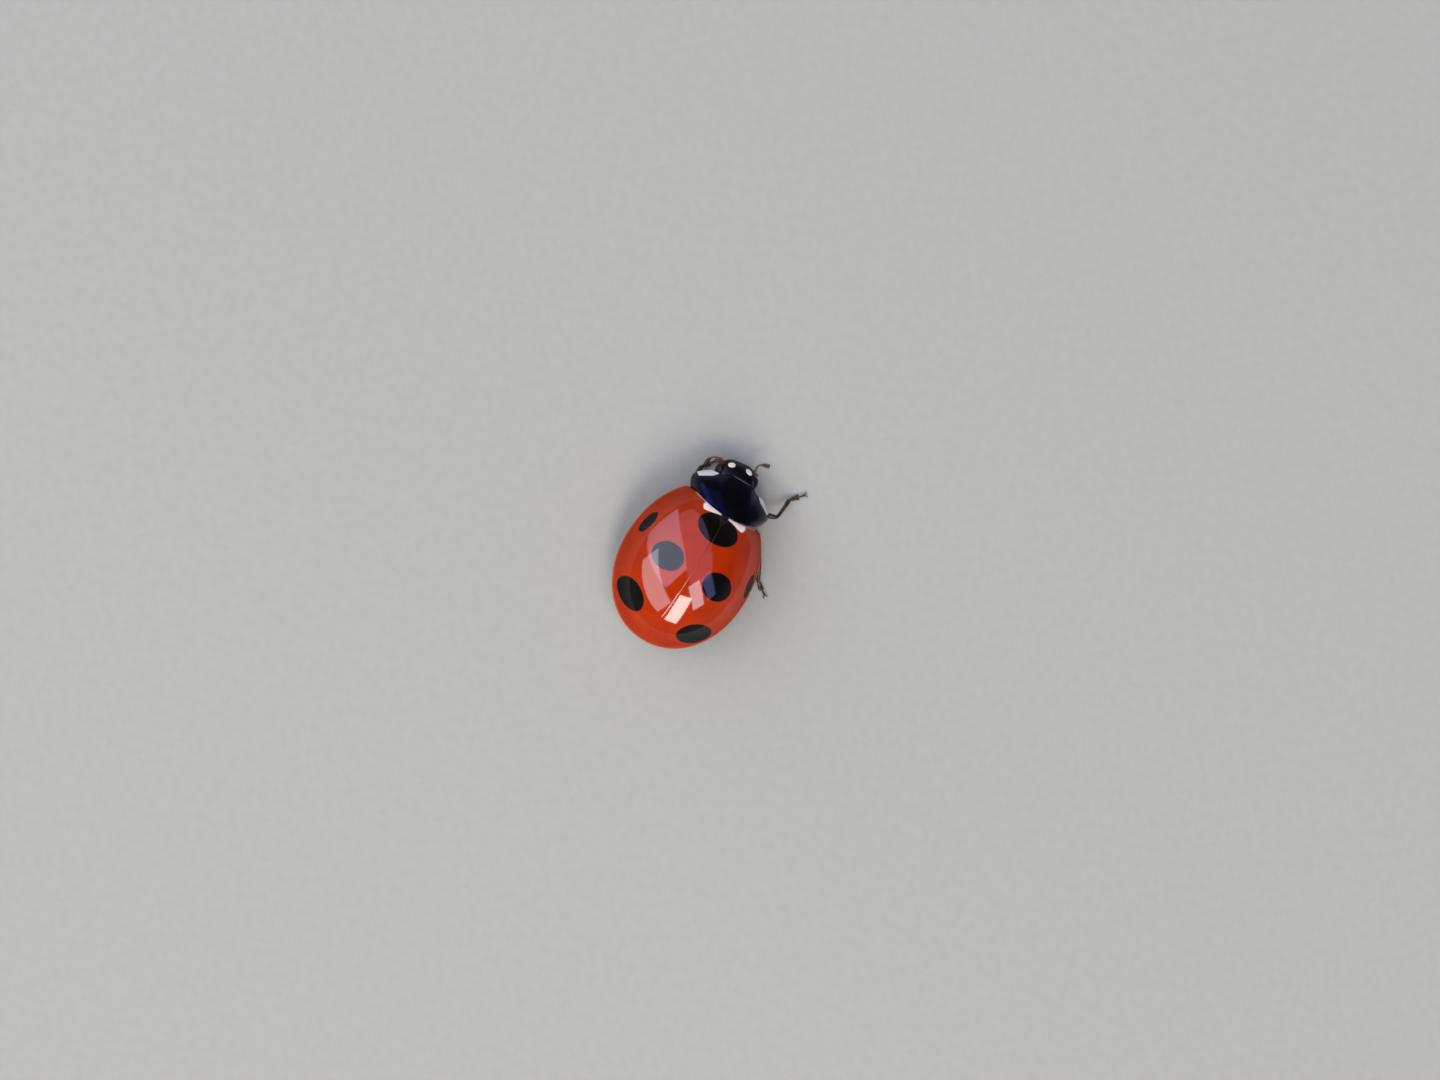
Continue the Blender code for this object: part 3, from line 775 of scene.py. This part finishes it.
def pronotumPoint(row, column, inset):
    across = sin(lerp(-0.5, 0.5, column) * pi)
    x = across * pronotumHalf(row, inset)
    hind = pronotum["pivotY"] - pronotum["hindCurve"] * x * x
    bulge = 1 - smoothStep(pronotum["bulgeStart"], pronotum["bulgeEnd"], abs(x))
    front = pronotum["frontY"] - pronotum["frontBulge"] * bulge
    y = lerp(hind, front, row)
    z = pronotumHeight(across, row, inset)
    if inset == 0:
        wide = pronotum["beadWidth"]
        edge = min((1 - abs(across)) * pronotum["beadSides"], y - front, hind - y + pronotum["beadHind"])
        z += pronotum["beadHeight"] * (bell(edge, wide) - pronotum["groove"] * bell(edge - 2 * wide, wide))
    return x, y - pronotum["pivotY"], z


def paintPronotum(tree, shader, place, colour):
    half, _ = foldedPlace(tree, place)
    return paintOver(tree, colour, [(edgesMask(tree, half, pronotum["lineEdges"]), pronotum["frontLine"]),
                                    (edgesMask(tree, half, pronotum["cornerEdges"]), pronotum["ivory"])])


def foreBreastRing(forward, half):
    middle = pronotum["sideHeight"]

    def pointAt(angle):
        up = sin(angle)
        x = half * signedPower(cos(angle), foreBreast["fullness"])
        if up <= 0:
            return x, -forward, middle + foreBreast["depth"] * signedPower(up, foreBreast["keelPower"])
        # the top keeps close under the shield, so no light shows between them
        hind = pronotum["hindCurve"] * x * x
        row = max(0, (forward - hind) / (pronotum["pivotY"] - pronotum["frontY"] - hind))
        roof = pronotumHeight(x / pronotumHalf(row, 0), row, pronotum["thickness"] + foreBreast["gap"])
        return x, -forward, lerp(middle, roof, up ** foreBreast["roofPower"])
    return ringOf(foreBreast["sides"], pointAt)


def makeForeBody():
    grids = plateGrids(pronotum["rows"], pronotum["columns"], lambda row, column: [
        pronotumPoint(row, column, inset) for inset in (0, pronotum["thickness"])])
    material = cuticle("melanisedShield", **pronotum["cuticle"], paint=paintPronotum)
    makePiece("pronotum", sheetShape(*grids, edgeRound=(0.5, 0.3, 0.5, 0.3)), material,
              ["pronotum"], forePlace)
    rings = [foreBreastRing(*station) for station in foreBreast["stations"]]
    makePiece("foreBreast", ringShape(rings), plateBlack, ["prothorax"], forePlace)


makeForeBody()
print("fore body done")


# trunk under the wing cases: core, breast plates and belly plates

trunk = dict(
    inset=0.5, rearInset=0.2, topInset=0.3, drop=0.17, dropSpare=0.35, sides=96,
    front=-2.24, waist=0.08, waistLap=0.02, rear=2.935, steps=(28, 30),
    # the rounded front end: how far it stands out, its height over the margin, its rings in radians
    nose=0.11, noseHeight=0.4, noseRings=(0.4, 0.8, 1.15),
    # plates: how far they stand out, the share of that at the edge and in the middle,
    # how deep they sink in, how round their corners are
    plate=0.035, plateSwell=(0.8, 1.4), plateSink=0.03, plateCorner=0.1, plateSteps=22,
    # belly plates: their borders from the waist to the tip, and how much thinner they start than they end
    borders=(0.1, 0.76, 1.26, 1.7, 2.1, 2.47, 2.915), borderCurve=0.045, borderLap=0.015,
    bellyWidth=0.985, bellySteps=(10, 72), bellyThin=0.25, bellyWedge=1.5, leastHalf=0.05,
    # breast plates of the left side: front inner, front outer, rear outer, rear inner corner
    breastPlates=(
        ((0.015, -1.12), (1.28, -1.06), (1.46, -0.3), (0.015, -0.06)),  # hind breast
        ((1.32, -1.14), (1.58, -1.2), (1.86, -0.1), (1.52, -0.16)),  # hind flank
        ((0.01, -1.92), (0.46, -1.9), (0.52, -1.28), (0.01, -1.22)),  # middle breast
        ((0.56, -2.06), (1.16, -1.98), (1.22, -1.52), (0.8, -1.44)),  # middle flank
    ),
    paleFlank=((1.24, -1.98), (1.6, -1.8), (1.9, -1.24), (1.3, -1.2)), paleFlankShare=1.2,
    hairs=2400, hairSeed=11, hairLength=0.09, hairLengths=(0.6, 1.1), hairRadius=0.0022,
    hairSpan=(-1.9, 2.66), hairWidth=0.96, hairRoot=0.9, hairSway=0.25, hairFall=(-0.5, -0.2),
    hairUnwrap=(6, 8),
)


def bellyHalf(y):
    # the belly reaches the folded hem of the wing cases all along
    return planHalf(y, lerp(trunk["inset"], trunk["rearInset"], hemShare(y)))


def bellyHeight(x, y):
    half = max(trunk["leastHalf"], bellyHalf(y))
    drop = trunk["drop"] * min(1, half / shell["halfWidth"] + trunk["dropSpare"])
    return shell["marginHeight"] - drop * max(0, 1 - (abs(x) / half) ** shell["planPower"]) ** 0.5


def trunkRing(y):
    half, crown = bellyHalf(y), domeRise(0, y, trunk["topInset"], trunk["topInset"])

    def pointAt(angle):
        x, up = half * signedPower(cos(angle), 2 / shell["planPower"]), sin(angle)
        if up > 0:
            return x, y, shell["marginHeight"] + crown * up ** (2 / shell["risePower"])
        return x, y, bellyHeight(x, y)
    return ringOf(trunk["sides"], pointAt)


def trunkRings(front, rear, steps):
    return [trunkRing(lerp(front, rear, 0.5 - 0.5 * cos(pi * i / steps))) for i in range(steps + 1)]


def noseRings(first):
    middle = Vector((0, trunk["front"], shell["marginHeight"] + trunk["noseHeight"]))
    for angle in reversed(trunk["noseRings"]):
        shift = Vector((0, -trunk["nose"] * sin(angle), 0))
        yield [middle + (Vector(p) - middle) * cos(angle) + shift for p in first]


def breastPlate(corners, thickness):
    def pairFrom(place, middling):
        x, y = place
        z = bellyHeight(x, y)
        return (x, y, z - thickness * lerp(*trunk["plateSwell"], middling)), (x, y, z + trunk["plateSink"])
    return cornerPlate(corners, trunk["plateCorner"], trunk["plateSteps"], (0.3,) * 4, pairFrom)


def bellyPlate(front, rear):
    def pairAt(row, column):
        share, middle = lerp(-1, 1, column), lerp(front, rear, row)
        x = share * bellyHalf(middle) * trunk["bellyWidth"]
        y = middle - trunk["borderCurve"] * share * share
        z = bellyHeight(x, middle)
        # thicker toward the hind border, which overlaps the next plate
        drop = 2 * trunk["plate"] * lerp(trunk["bellyThin"], 1, row ** trunk["bellyWedge"])
        return (x, y, z - drop), (x, y, z + trunk["plateSink"])
    return sheetShape(*plateGrids(*trunk["bellySteps"], pairAt), edgeRound=(0.1, 0.1, 0.35, 0.1))


def makeTrunk():
    waist, lap = trunk["waist"], trunk["waistLap"]
    foreRings = trunkRings(trunk["front"], waist, trunk["steps"][0])
    hindRings = trunkRings(waist - lap, trunk["rear"], trunk["steps"][1])
    flank = breastPlate(trunk["paleFlank"], trunk["plate"] * trunk["paleFlankShare"])
    plates = [breastPlate(corners, trunk["plate"]) for corners in trunk["breastPlates"]]
    plates = [side for plate in plates for side in (plate, mirrorShape(plate))]
    # white side plates, which show beside the middle legs: the same cuticle without the black
    paleCuticle = cuticle("paleSidePlate", ("#E3DCCB", "#CFC5B0"), 0.42, (0.05, 0.003))

    def add(name, shape, material=plateBlack, *nodes):
        makePiece(name, shape, material, nodes)

    add("hindBody", ringShape([*noseRings(foreRings[0]), *foreRings]), plateBlack, "thorax")
    add("abdomen", ringShape(hindRings), plateBlack, "abdomen")
    add("breastPlates", joinShapes(plates))
    add("paleSidePlates", joinShapes([flank, mirrorShape(flank)]), paleCuticle)
    for i, (front, rear) in enumerate(zip(trunk["borders"], trunk["borders"][1:])):
        add(f"bellyPlate{i + 1}", bellyPlate(front, rear + trunk["borderLap"]))


makeTrunk()
print("trunk done")


# head, turned further to the left than the shield; its points are (across, forward, height)

head = dict(
    pivot=(0.14, -3.27), yaw=10, seed=7,
    # forward reach, then half width, underside height and top height at it
    stations=((0, 0.56, 0.86, 1.44), (0.22, 0.71, 0.74, 1.52), (0.48, 0.775, 0.68, 1.57),
              (0.72, 0.775, 0.67, 1.56), (0.94, 0.71, 0.7, 1.47), (1.1, 0.59, 0.77, 1.32),
              (1.19, 0.42, 0.86, 1.18)),
    # rounding of the front: reach, narrowing, flattening
    frontRings=((0.022, 0.06, 0.042), (0.036, 0.16, 0.112)),
    power=2.4, sides=80, rings=46,
    # Head capsule: black cuticle with two ivory spots beside the eyes and a violet cast in its shine
    cuticle=dict(colours=("#0A0809", "#100C0D"), roughness=0.26, pits=(0.04, 0.004), grain=(0.01, 0.0008),
                 mottling=(0.3,),
                 shine={"Specular IOR Level": 0.2, "Specular Tint": linearColour("#DAD2FF")}),
    spot=((0.355, -0.98), (0.145, 0.092), 23, 0.1), spotFloor=(1.1, 1.14), ivory="#EAE6DC",
    eyeSize=(0.2, 0.29, 0.285), eyePlace=(0.665, 0.66, 1.19),
    eyeColours=("#0B0A0C", "#1A1616"), eyeMottling=(0.06, 0.4, 0.65),
    facet=0.022, facetHeight=0.004, facetScatter=0.35,
)

mouth = dict(
    # small plates: upper left, upper right, lower right, lower left corner, then swell and thickness
    clypeus=(((-0.45, 1.13, 0.95), (0.45, 1.13, 0.95), (0.34, 1.19, 0.76), (-0.34, 1.19, 0.76)),
             0.035, 0.08),
    labrum=(((-0.3, 1.16, 0.78), (0.3, 1.16, 0.78), (0.23, 1.17, 0.61), (-0.23, 1.17, 0.61)),
            0.045, 0.06),
    plateSteps=20, plateCorner=0.14,
    # the jaw's path, then its radii, rings, sides and flatness
    mandible=((0.3, 0.74, 0.76), (0.37, 0.9, 0.67), (0.335, 1.04, 0.605), (0.2, 1.12, 0.565),
              (0.03, 1.135, 0.55)),
    mandibleForm=(((0, 0.11), (0.4, 0.105), (0.75, 0.06), (1, 0.006)), 22, 20, 0.8),
    # segments: start, end, half width, half depth, bluntness; the jaw feeler ends in an axe blade
    palp=(((0.44, 0.55, 0.71), (0.55, 0.7, 0.53), 0.055, 0.055, 4),
          ((0.54, 0.68, 0.54), (0.66, 0.86, 0.5), 0.064, 0.06, 4),
          ((0.65, 0.84, 0.5), (0.71, 0.94, 0.485), 0.06, 0.056, 4),
          ((0.69, 0.9, 0.49), (0.78, 1.12, 0.46), 0.135, 0.045, 14,
           ((0, 0.32), (0.35, 0.55), (0.85, 1), (1, 0.9)))),
    lipPalp=(((0.09, 0.84, 0.58), (0.12, 0.97, 0.47), 0.032, 0.032, 4),
             ((0.12, 0.95, 0.48), (0.13, 1.06, 0.44), 0.026, 0.026, 4)),
    mentum=((0, 0.42, 0.66), (0, 0.96, 0.52), 0.22, 0.08, 5),
    lipRim=((-0.2, 1.17, 0.62), (0.2, 1.17, 0.62), 0.02, 0.02, 8),
    lipHairs=(150, 0.07, 0.0018, 0), lipHairsFace=(0, -0.5, -0.85),
)

antenna = dict(
    # stem and club follow one curve
    right=((-0.56, 1.04, 0.97), (-0.64, 1.2, 0.93), (-0.66, 1.36, 0.87), (-0.84, 1.48, 0.81),
           (-1.1, 1.52, 0.78)),
    left=((0.6, 0.98, 0.97), (0.8, 1.06, 0.96), (1, 1.04, 0.91), (1.16, 0.9, 0.87), (1.22, 0.64, 0.84)),
    lengths=(1.5, 0.9, 1.2, 0.8, 0.75, 0.7, 0.65, 0.62, 0.8, 0.85, 1), lap=0.05, flat=0.85, blunt=4,
    radii=(0.062, 0.05, 0.04, 0.036, 0.036, 0.037, 0.04, 0.048, 0.074, 0.092, 0.086),
    swelling=((0, 0.7), (0.6, 1), (1, 0.98)), stemSegments=8, stemFineness=(14, 18), clubFineness=(16, 22),
    stemHairs=16, clubHairs=44, hair=(0.034, 0.0014, 0.6),
)

headPlace = turnedPlace(*head["pivot"], head["yaw"])

# Feelers: lightly tanned cuticle, amber where thin and darker in the club, with a satin shine
feelerAmber = cuticle("tannedFeeler", ("#6E3F1E", "#4E2B14"), 0.38, (0.03, 0.003))
feelerClub = cuticle("tannedFeelerClub", ("#4A2A18", "#35200F"), 0.45, (0.02, 0.003))
# Jaws: the hardest, most tanned cuticle, dark red-brown and smooth
jawHorn = cuticle("tannedJaw", ("#3A1A0E", "#24100A"), 0.3, (0.05, 0.002))
# Bristles: hollow threads of pale cuticle that catch the light
bristle = cuticle("paleBristle", ("#9C875F", "#76623F"), 0.45, (0.05, 0))


def headRing(forward, half, low, high, squeeze=0):
    power, middle, tall = 2 / head["power"], (low + high) / 2, (high - low) / 2 - squeeze
    return ringOf(head["sides"], lambda angle: (half * signedPower(cos(angle), power), -forward,
                                                middle + tall * signedPower(sin(angle), power)))


def headShape():
    tables = [[(station[0], station[k]) for station in head["stations"]] for k in (1, 2, 3)]
    last, half, low, high = head["stations"][-1]
    rings = []
    for i in range(head["rings"] + 1):
        forward = last * sin(0.5 * pi * i / head["rings"])
        rings.append(headRing(forward, *(curveValue(table, forward) for table in tables)))
    for reach, narrowing, flattening in head["frontRings"]:
        rings.append(headRing(last + reach, half - narrowing, low, high, flattening))
    return ringShape(rings)


def paintHead(tree, shader, place, colour):
    half, height = foldedPlace(tree, place)
    spot = combineMasks(tree, "MULTIPLY", [ovalMask(tree, half, *head["spot"]),
                                           rampMask(tree, height, *head["spotFloor"])])
    return paintOver(tree, colour, [(spot, head["ivory"])])


def eyeMaterial():
    # Compound eye: close-set lens facets over black pigment, each a tiny dome that breaks up the shine
    material, tree, shader, place = startMaterial("compoundEyeLenses", {
        "Roughness": 0.24, "IOR": 1.5, "Specular IOR Level": 0.22})
    colour = mottle(tree, place, head["eyeColours"], *head["eyeMottling"])
    tree.links.new(colour, shader.inputs["Base Color"])
    cells = addNode(tree, "TexVoronoi", {"feature": "F1"}, {
        "Vector": place, "Scale": perMm(head["facet"]), "Randomness": head["facetScatter"]})
    domed = addNode(tree, "Math", {"operation": "SUBTRACT"}, {0: 1, 1: cells.outputs["Distance"]})
    bump = addNode(tree, "Bump", None, {"Strength": 1, "Distance": head["facetHeight"] * mm,
                                        "Height": domed.outputs[0]})
    tree.links.new(bump.outputs[0], shader.inputs["Normal"])
    return material


def inHead(point):
    return Vector((point[0], -point[1], point[2]))


def headPod(start, end, *form):
    return pod(inHead(start), inHead(end), *form)


def mouthPlate(corners, swell, thickness):
    corners = [inHead(corner) for corner in corners]
    out = (corners[3] - corners[0]).cross(corners[1] - corners[0]).normalized()

    def pairFrom(place, middling):
        place = place + out * (swell * middling)
        return place, place - out * thickness
    return cornerPlate(corners, mouth["plateCorner"], mouth["plateSteps"], (0.6,) * 4, pairFrom)


def antennaParts(side):
    total = sum(antenna["lengths"])
    parts, walked = [], 0
    for length, radius in zip(antenna["lengths"], antenna["radii"]):
        start = routePoint(antenna[side], walked / total)
        walked += length
        end = routePoint(antenna[side], walked / total)
        lap = (end - start) * antenna["lap"]
        form = (radius, radius * antenna["flat"], antenna["blunt"], antenna["swelling"])
        parts.append(headPod(start - lap, end + lap, *form))
    return parts


def makeHead():
    chance = random.Random(head["seed"])
    eye, stem = eyeMaterial(), antenna["stemSegments"]
    black = cuticle("melanisedHeadCapsule", **head["cuticle"], paint=paintHead)

    def add(name, shape, material, slotName, *nodes):
        makePiece(name, shape, material, nodes, headPlace)

    add("headCapsule", headShape(), black, "head_black", "head")
    x, forward, height = head["eyePlace"]
    leftShapes = [ballShape((x, -forward, height), head["eyeSize"]),
                  tubeShape([inHead(point) for point in mouth["mandible"]], *mouth["mandibleForm"]),
                  podsShape([headPod(*part) for part in mouth["palp"]]),
                  podsShape([headPod(*part) for part in mouth["lipPalp"]])]
    for side, shapes in (("left", leftShapes), ("right", [mirrorShape(shape) for shape in leftShapes])):
        label = side.capitalize()
        add("eye" + label, shapes[0], eye, "eye_black", "eye_" + side)
        add("mandible" + label, shapes[1], jawHorn, "head_black", "mandible_" + side)
        add("palp" + label, shapes[2], feelerAmber, "feeler_brown", "palp_" + side)
        add("lipPalp" + label, shapes[3], feelerAmber, "feeler_brown")
        parts = antennaParts(side)
        add("antennaStem" + label, podsShape(parts[:stem], *antenna["stemFineness"]), feelerAmber,
            "feeler_brown", "antenna_" + side)
        add("antennaClub" + label, podsShape(parts[stem:], *antenna["clubFineness"]), feelerClub,
            "feeler_brown")
        hairs = []
        for i, part in enumerate(parts):
            count = antenna["stemHairs" if i < stem else "clubHairs"]
            hairs += podHairs(part, count, *antenna["hair"], chance, i, len(parts))
        makeHairs("antennaHairs" + label, hairs, bristle, headPlace)
    add("clypeus", mouthPlate(*mouth["clypeus"]), black, "head_black")
    add("labrum", mouthPlate(*mouth["labrum"]), jawHorn, "head_black", "labrum")
    add("mentum", podShape(headPod(*mouth["mentum"])), black, "head_black")
    fringe = podHairs(headPod(*mouth["lipRim"]), *mouth["lipHairs"], chance, 0, 1, mouth["lipHairsFace"])
    makeHairs("lipHairs", fringe, bristle, headPlace)


makeHead()
print("head done")


# legs

leg = dict(
    # coxa root and end, knee, ankle and toe of each leg, in the model's own directions
    routes={
        "fore_right": ((-0.26, -2.84, 0.61), (-0.62, -2.95, 0.61), (-1.95, -3.5, 0.76),
                       (-2.08, -4.34), (-2.58, -4.92)),
        "fore_left": ((0.3, -2.84, 0.61), (0.66, -2.92, 0.61), (1.5, -2.86, 0.66),
                      (1.44, -3.62), (1.06, -4.14)),
        "mid_right": ((-0.42, -1.42, 0.59), (-0.98, -1.5, 0.59), (-2.15, -1.98, 0.66),
                      (-2.7, -1.14), (-3.34, -0.74)),
        "mid_left": ((0.42, -1.42, 0.59), (0.98, -1.5, 0.59), (2, -1.86, 0.66),
                     (2.1, -0.94), (2.14, -0.18)),
        "hind_right": ((-0.34, -0.42, 0.59), (-0.95, -0.3, 0.59), (-1.84, 0.52, 0.66),
                       (-1.88, 1.5), (-1.66, 2.2)),
        "hind_left": ((0.34, -0.42, 0.59), (0.95, -0.3, 0.59), (1.78, 0.4, 0.66),
                      (1.82, 1.36), (1.58, 2.02)),
    },
    # half width, half depth, bluntness and swelling of each segment, and how far it reaches past its two ends
    coxa=(0.21, 0.175, 3.5, ((0, 1), (0.6, 0.95), (1, 0.72))), coxaRise=0.2, coxaReach=0.06,
    trochanter=(0.115, 0.12, 3, ((0, 1), (1, 1))), trochanterShare=0.16, trochanterReach=(0.04, 0.08),
    femur=(0.125, 0.185, 9, ((0, 0.55), (0.22, 0.92), (0.5, 1), (0.8, 0.8), (1, 0.66))),
    femurReach=(0.06, 0.05), femurArch=0.03,
    tibia=(0.078, 0.098, 12, ((0, 0.8), (0.15, 0.84), (0.6, 0.92), (0.9, 1.12), (1, 1.1))),
    tibiaReach=(0.05, 0.03), tibiaArch=0.025, ankleHeight=0.19, floorGap=0.004,
    # rings and sides of each mesh
    fineness=dict(coxa=(20, 30), trochanter=(22, 24), femur=(40, 32), tibia=(40, 26), foot=(22, 22)),
    # spurs: distance aside, distance back, length; then radii, rings and sides
    spur=(0.05, 0.02, 0.1), spurForm=(((0, 0.014), (0.6, 0.01), (1, 0.002)), 8, 8),
    # hairs on the femur, the tibia, the foot's base and its two pads:
    # count, length, radius, how far they lie along the segment, band of the unwrap
    hairs=((160, 0.055, 0.0024, 0.8, 0), (220, 0.07, 0.0024, 0.75, 1), (90, 0.055, 0.0024, 0.65, 2),
           (70, 0.04, 0.00192, 0.5, 3), (70, 0.04, 0.00192, 0.5, 3)),
    bands=4,
)

foot = dict(
    # points: share of the way from ankle to toe, distance aside, height
    # segments: start, end, half width, half depth, bluntness, swelling, arch; two pads follow the first
    segments=(
        ((-0.02, 0, 0.19), (0.36, 0, 0.085), 0.08, 0.06, 5, ((0, 0.55), (0.7, 1), (1, 1.1))),
        ((0.24, -0.015, 0.085), (0.58, -0.0676, 0.038), 0.058, 0.04, 3, ((0, 0.6), (0.7, 1), (1, 1))),
        ((0.24, 0.015, 0.085), (0.58, 0.0676, 0.038), 0.058, 0.04, 3, ((0, 0.6), (0.7, 1), (1, 1))),
        ((0.42, 0, 0.085), (0.54, 0, 0.105), 0.036, 0.036, 3),
        ((0.48, 0, 0.095), (0.86, 0, 0.085), 0.044, 0.046, 5, ((0, 0.55), (0.5, 0.8), (1, 1.1)),
         (0, 0, 0.022)),
    ),
    # claw and its tooth: path, radii, rings, sides
    claws=(
        (((0.84, 0.012, 0.088), (0.92, 0.045, 0.092), (0.99, 0.078, 0.055), (1, 0.088, 0.012)),
         ((0, 0.024), (0.5, 0.017), (1, 0.002)), 16, 12),
        (((0.87, 0.03, 0.08), (0.92, 0.036, 0.055), (0.94, 0.04, 0.032)),
         ((0, 0.018), (0.6, 0.013), (1, 0.002)), 8, 10),
    ),
)

# Legs: black cuticle, thinner than the body's plates, so it warms to brown and shines less
legBlack = cuticle("melanisedLeg", ("#120C0A", "#20130D"), 0.36, (0.04, 0.003), (0.012, 0.001))
footBrown = cuticle("tannedFoot", ("#3B2114", "#22130C"), 0.42, (0.03, 0.003))
clawHorn = cuticle("tannedClaw", ("#5A2E16", "#3A1C0D"), 0.28, (0.05, 0.002))


def footParts(ankle, toe):
    way = Vector((*toe, 0)) - Vector((*ankle, 0))
    across = Vector((-way.y, way.x, 0)).normalized()

    def spot(share, aside, height):
        return Vector((*ankle, height)) + way * share + across * aside

    pods = [pod(spot(*start), spot(*end), *form) for start, end, *form in foot["segments"]]
    claws = [tubeShape([spot(share, side * aside, height) for share, aside, height in path], *form)
             for side in (-1, 1) for path, *form in foot["claws"]]
    return pods, claws, way.normalized(), across


def reachingPod(start, end, form, reach, bend=(0, 0, 0)):
    # a segment that runs on past its joints, into its neighbours
    axis = (end - start).normalized()
    return pod(start - axis * reach[0], end + axis * reach[1], *form, bend)


def makeLeg(name, root, hip, knee, ankle, toe):
    pair, side = name.split("_")
    label = pair + "Leg" + side.capitalize()
    chance = random.Random(sum(ord(letter) for letter in name))
    tarsus, claws, ahead, across = footParts(ankle, toe)
    root, hip, knee, ankle = Vector(root), Vector(hip), Vector(knee), Vector((*ankle, leg["ankleHeight"]))
    outward, down = (knee - hip).normalized(), (ankle - knee).normalized()
    turn = hip.lerp(knee, leg["trochanterShare"])
    coxa = pod(root + upright * leg["coxaRise"], hip + outward * leg["coxaReach"], *leg["coxa"])
    trochanter = reachingPod(hip, turn, leg["trochanter"], leg["trochanterReach"])
    femur = reachingPod(turn, knee, leg["femur"], leg["femurReach"], upright * leg["femurArch"])
    tibia = reachingPod(knee, ankle, leg["tibia"], leg["tibiaReach"], outward * leg["tibiaArch"])

    def add(part, shape, material, slotName, node=None):
        makePiece(label + part, shape, material, [f"{pair}_{node}_{side}"] if node else ())

    fineness = leg["fineness"]
    thigh = joinShapes([podShape(trochanter, *fineness["trochanter"]), podShape(femur, *fineness["femur"])])
    add("Coxa", podShape(coxa, *fineness["coxa"]), plateBlack, "body_black", "coxa")
    add("Femur", thigh, legBlack, "leg_black", "femur")
    add("Tibia", podShape(tibia, *fineness["tibia"]), legBlack, "leg_black", "tibia")
    add("Foot", podsShape(tarsus, *fineness["foot"], leg["floorGap"]), footBrown, "leg_black", "tarsus")
    if pair != "fore":
        spread, back, length = leg["spur"]
        for aside in (-spread, spread):
            start = ankle + across * aside - down * back
            tip = start + (ahead + down).normalized() * length
            claws.append(tubeShape((start, start.lerp(tip, 0.5), tip), *leg["spurForm"]))
    add("Claws", joinShapes(claws), clawHorn, "leg_black")
    hairs = []
    for part, (*form, band) in zip((femur, tibia, *tarsus), leg["hairs"]):
        hairs += podHairs(part, *form, chance, band, leg["bands"])
    # a hair that would go through the floor is left out
    hairs = [hair for hair in hairs if hair[0].z + (hair[1].z - hairForm["sag"]) * hair[2] > leg["floorGap"]]
    makeHairs(label + "Hairs", hairs, bristle)


for legName, legRoute in leg["routes"].items():
    makeLeg(legName, *legRoute)
print("legs done")


# down on the underside

def makeUndersideHairs():
    chance = random.Random(trunk["hairSeed"])
    across, along = trunk["hairUnwrap"]
    hairs = []
    while len(hairs) < trunk["hairs"]:
        y = chance.uniform(*trunk["hairSpan"])
        half = bellyHalf(y) * trunk["hairWidth"]
        x = chance.uniform(-half, half)
        root = Vector((x, y, bellyHeight(x, y) - trunk["plate"] * trunk["hairRoot"]))
        sway = chance.uniform(-trunk["hairSway"], trunk["hairSway"])
        direction = Vector((sway, 1, chance.uniform(*trunk["hairFall"]))).normalized()
        hairs.append((root, direction, trunk["hairLength"] * chance.uniform(*trunk["hairLengths"]),
                      trunk["hairRadius"], 0.5 + x / across, 0.5 + y / along))
    makeHairs("undersideHairs", hairs, bristle)


makeUndersideHairs()
print("underside hairs done")
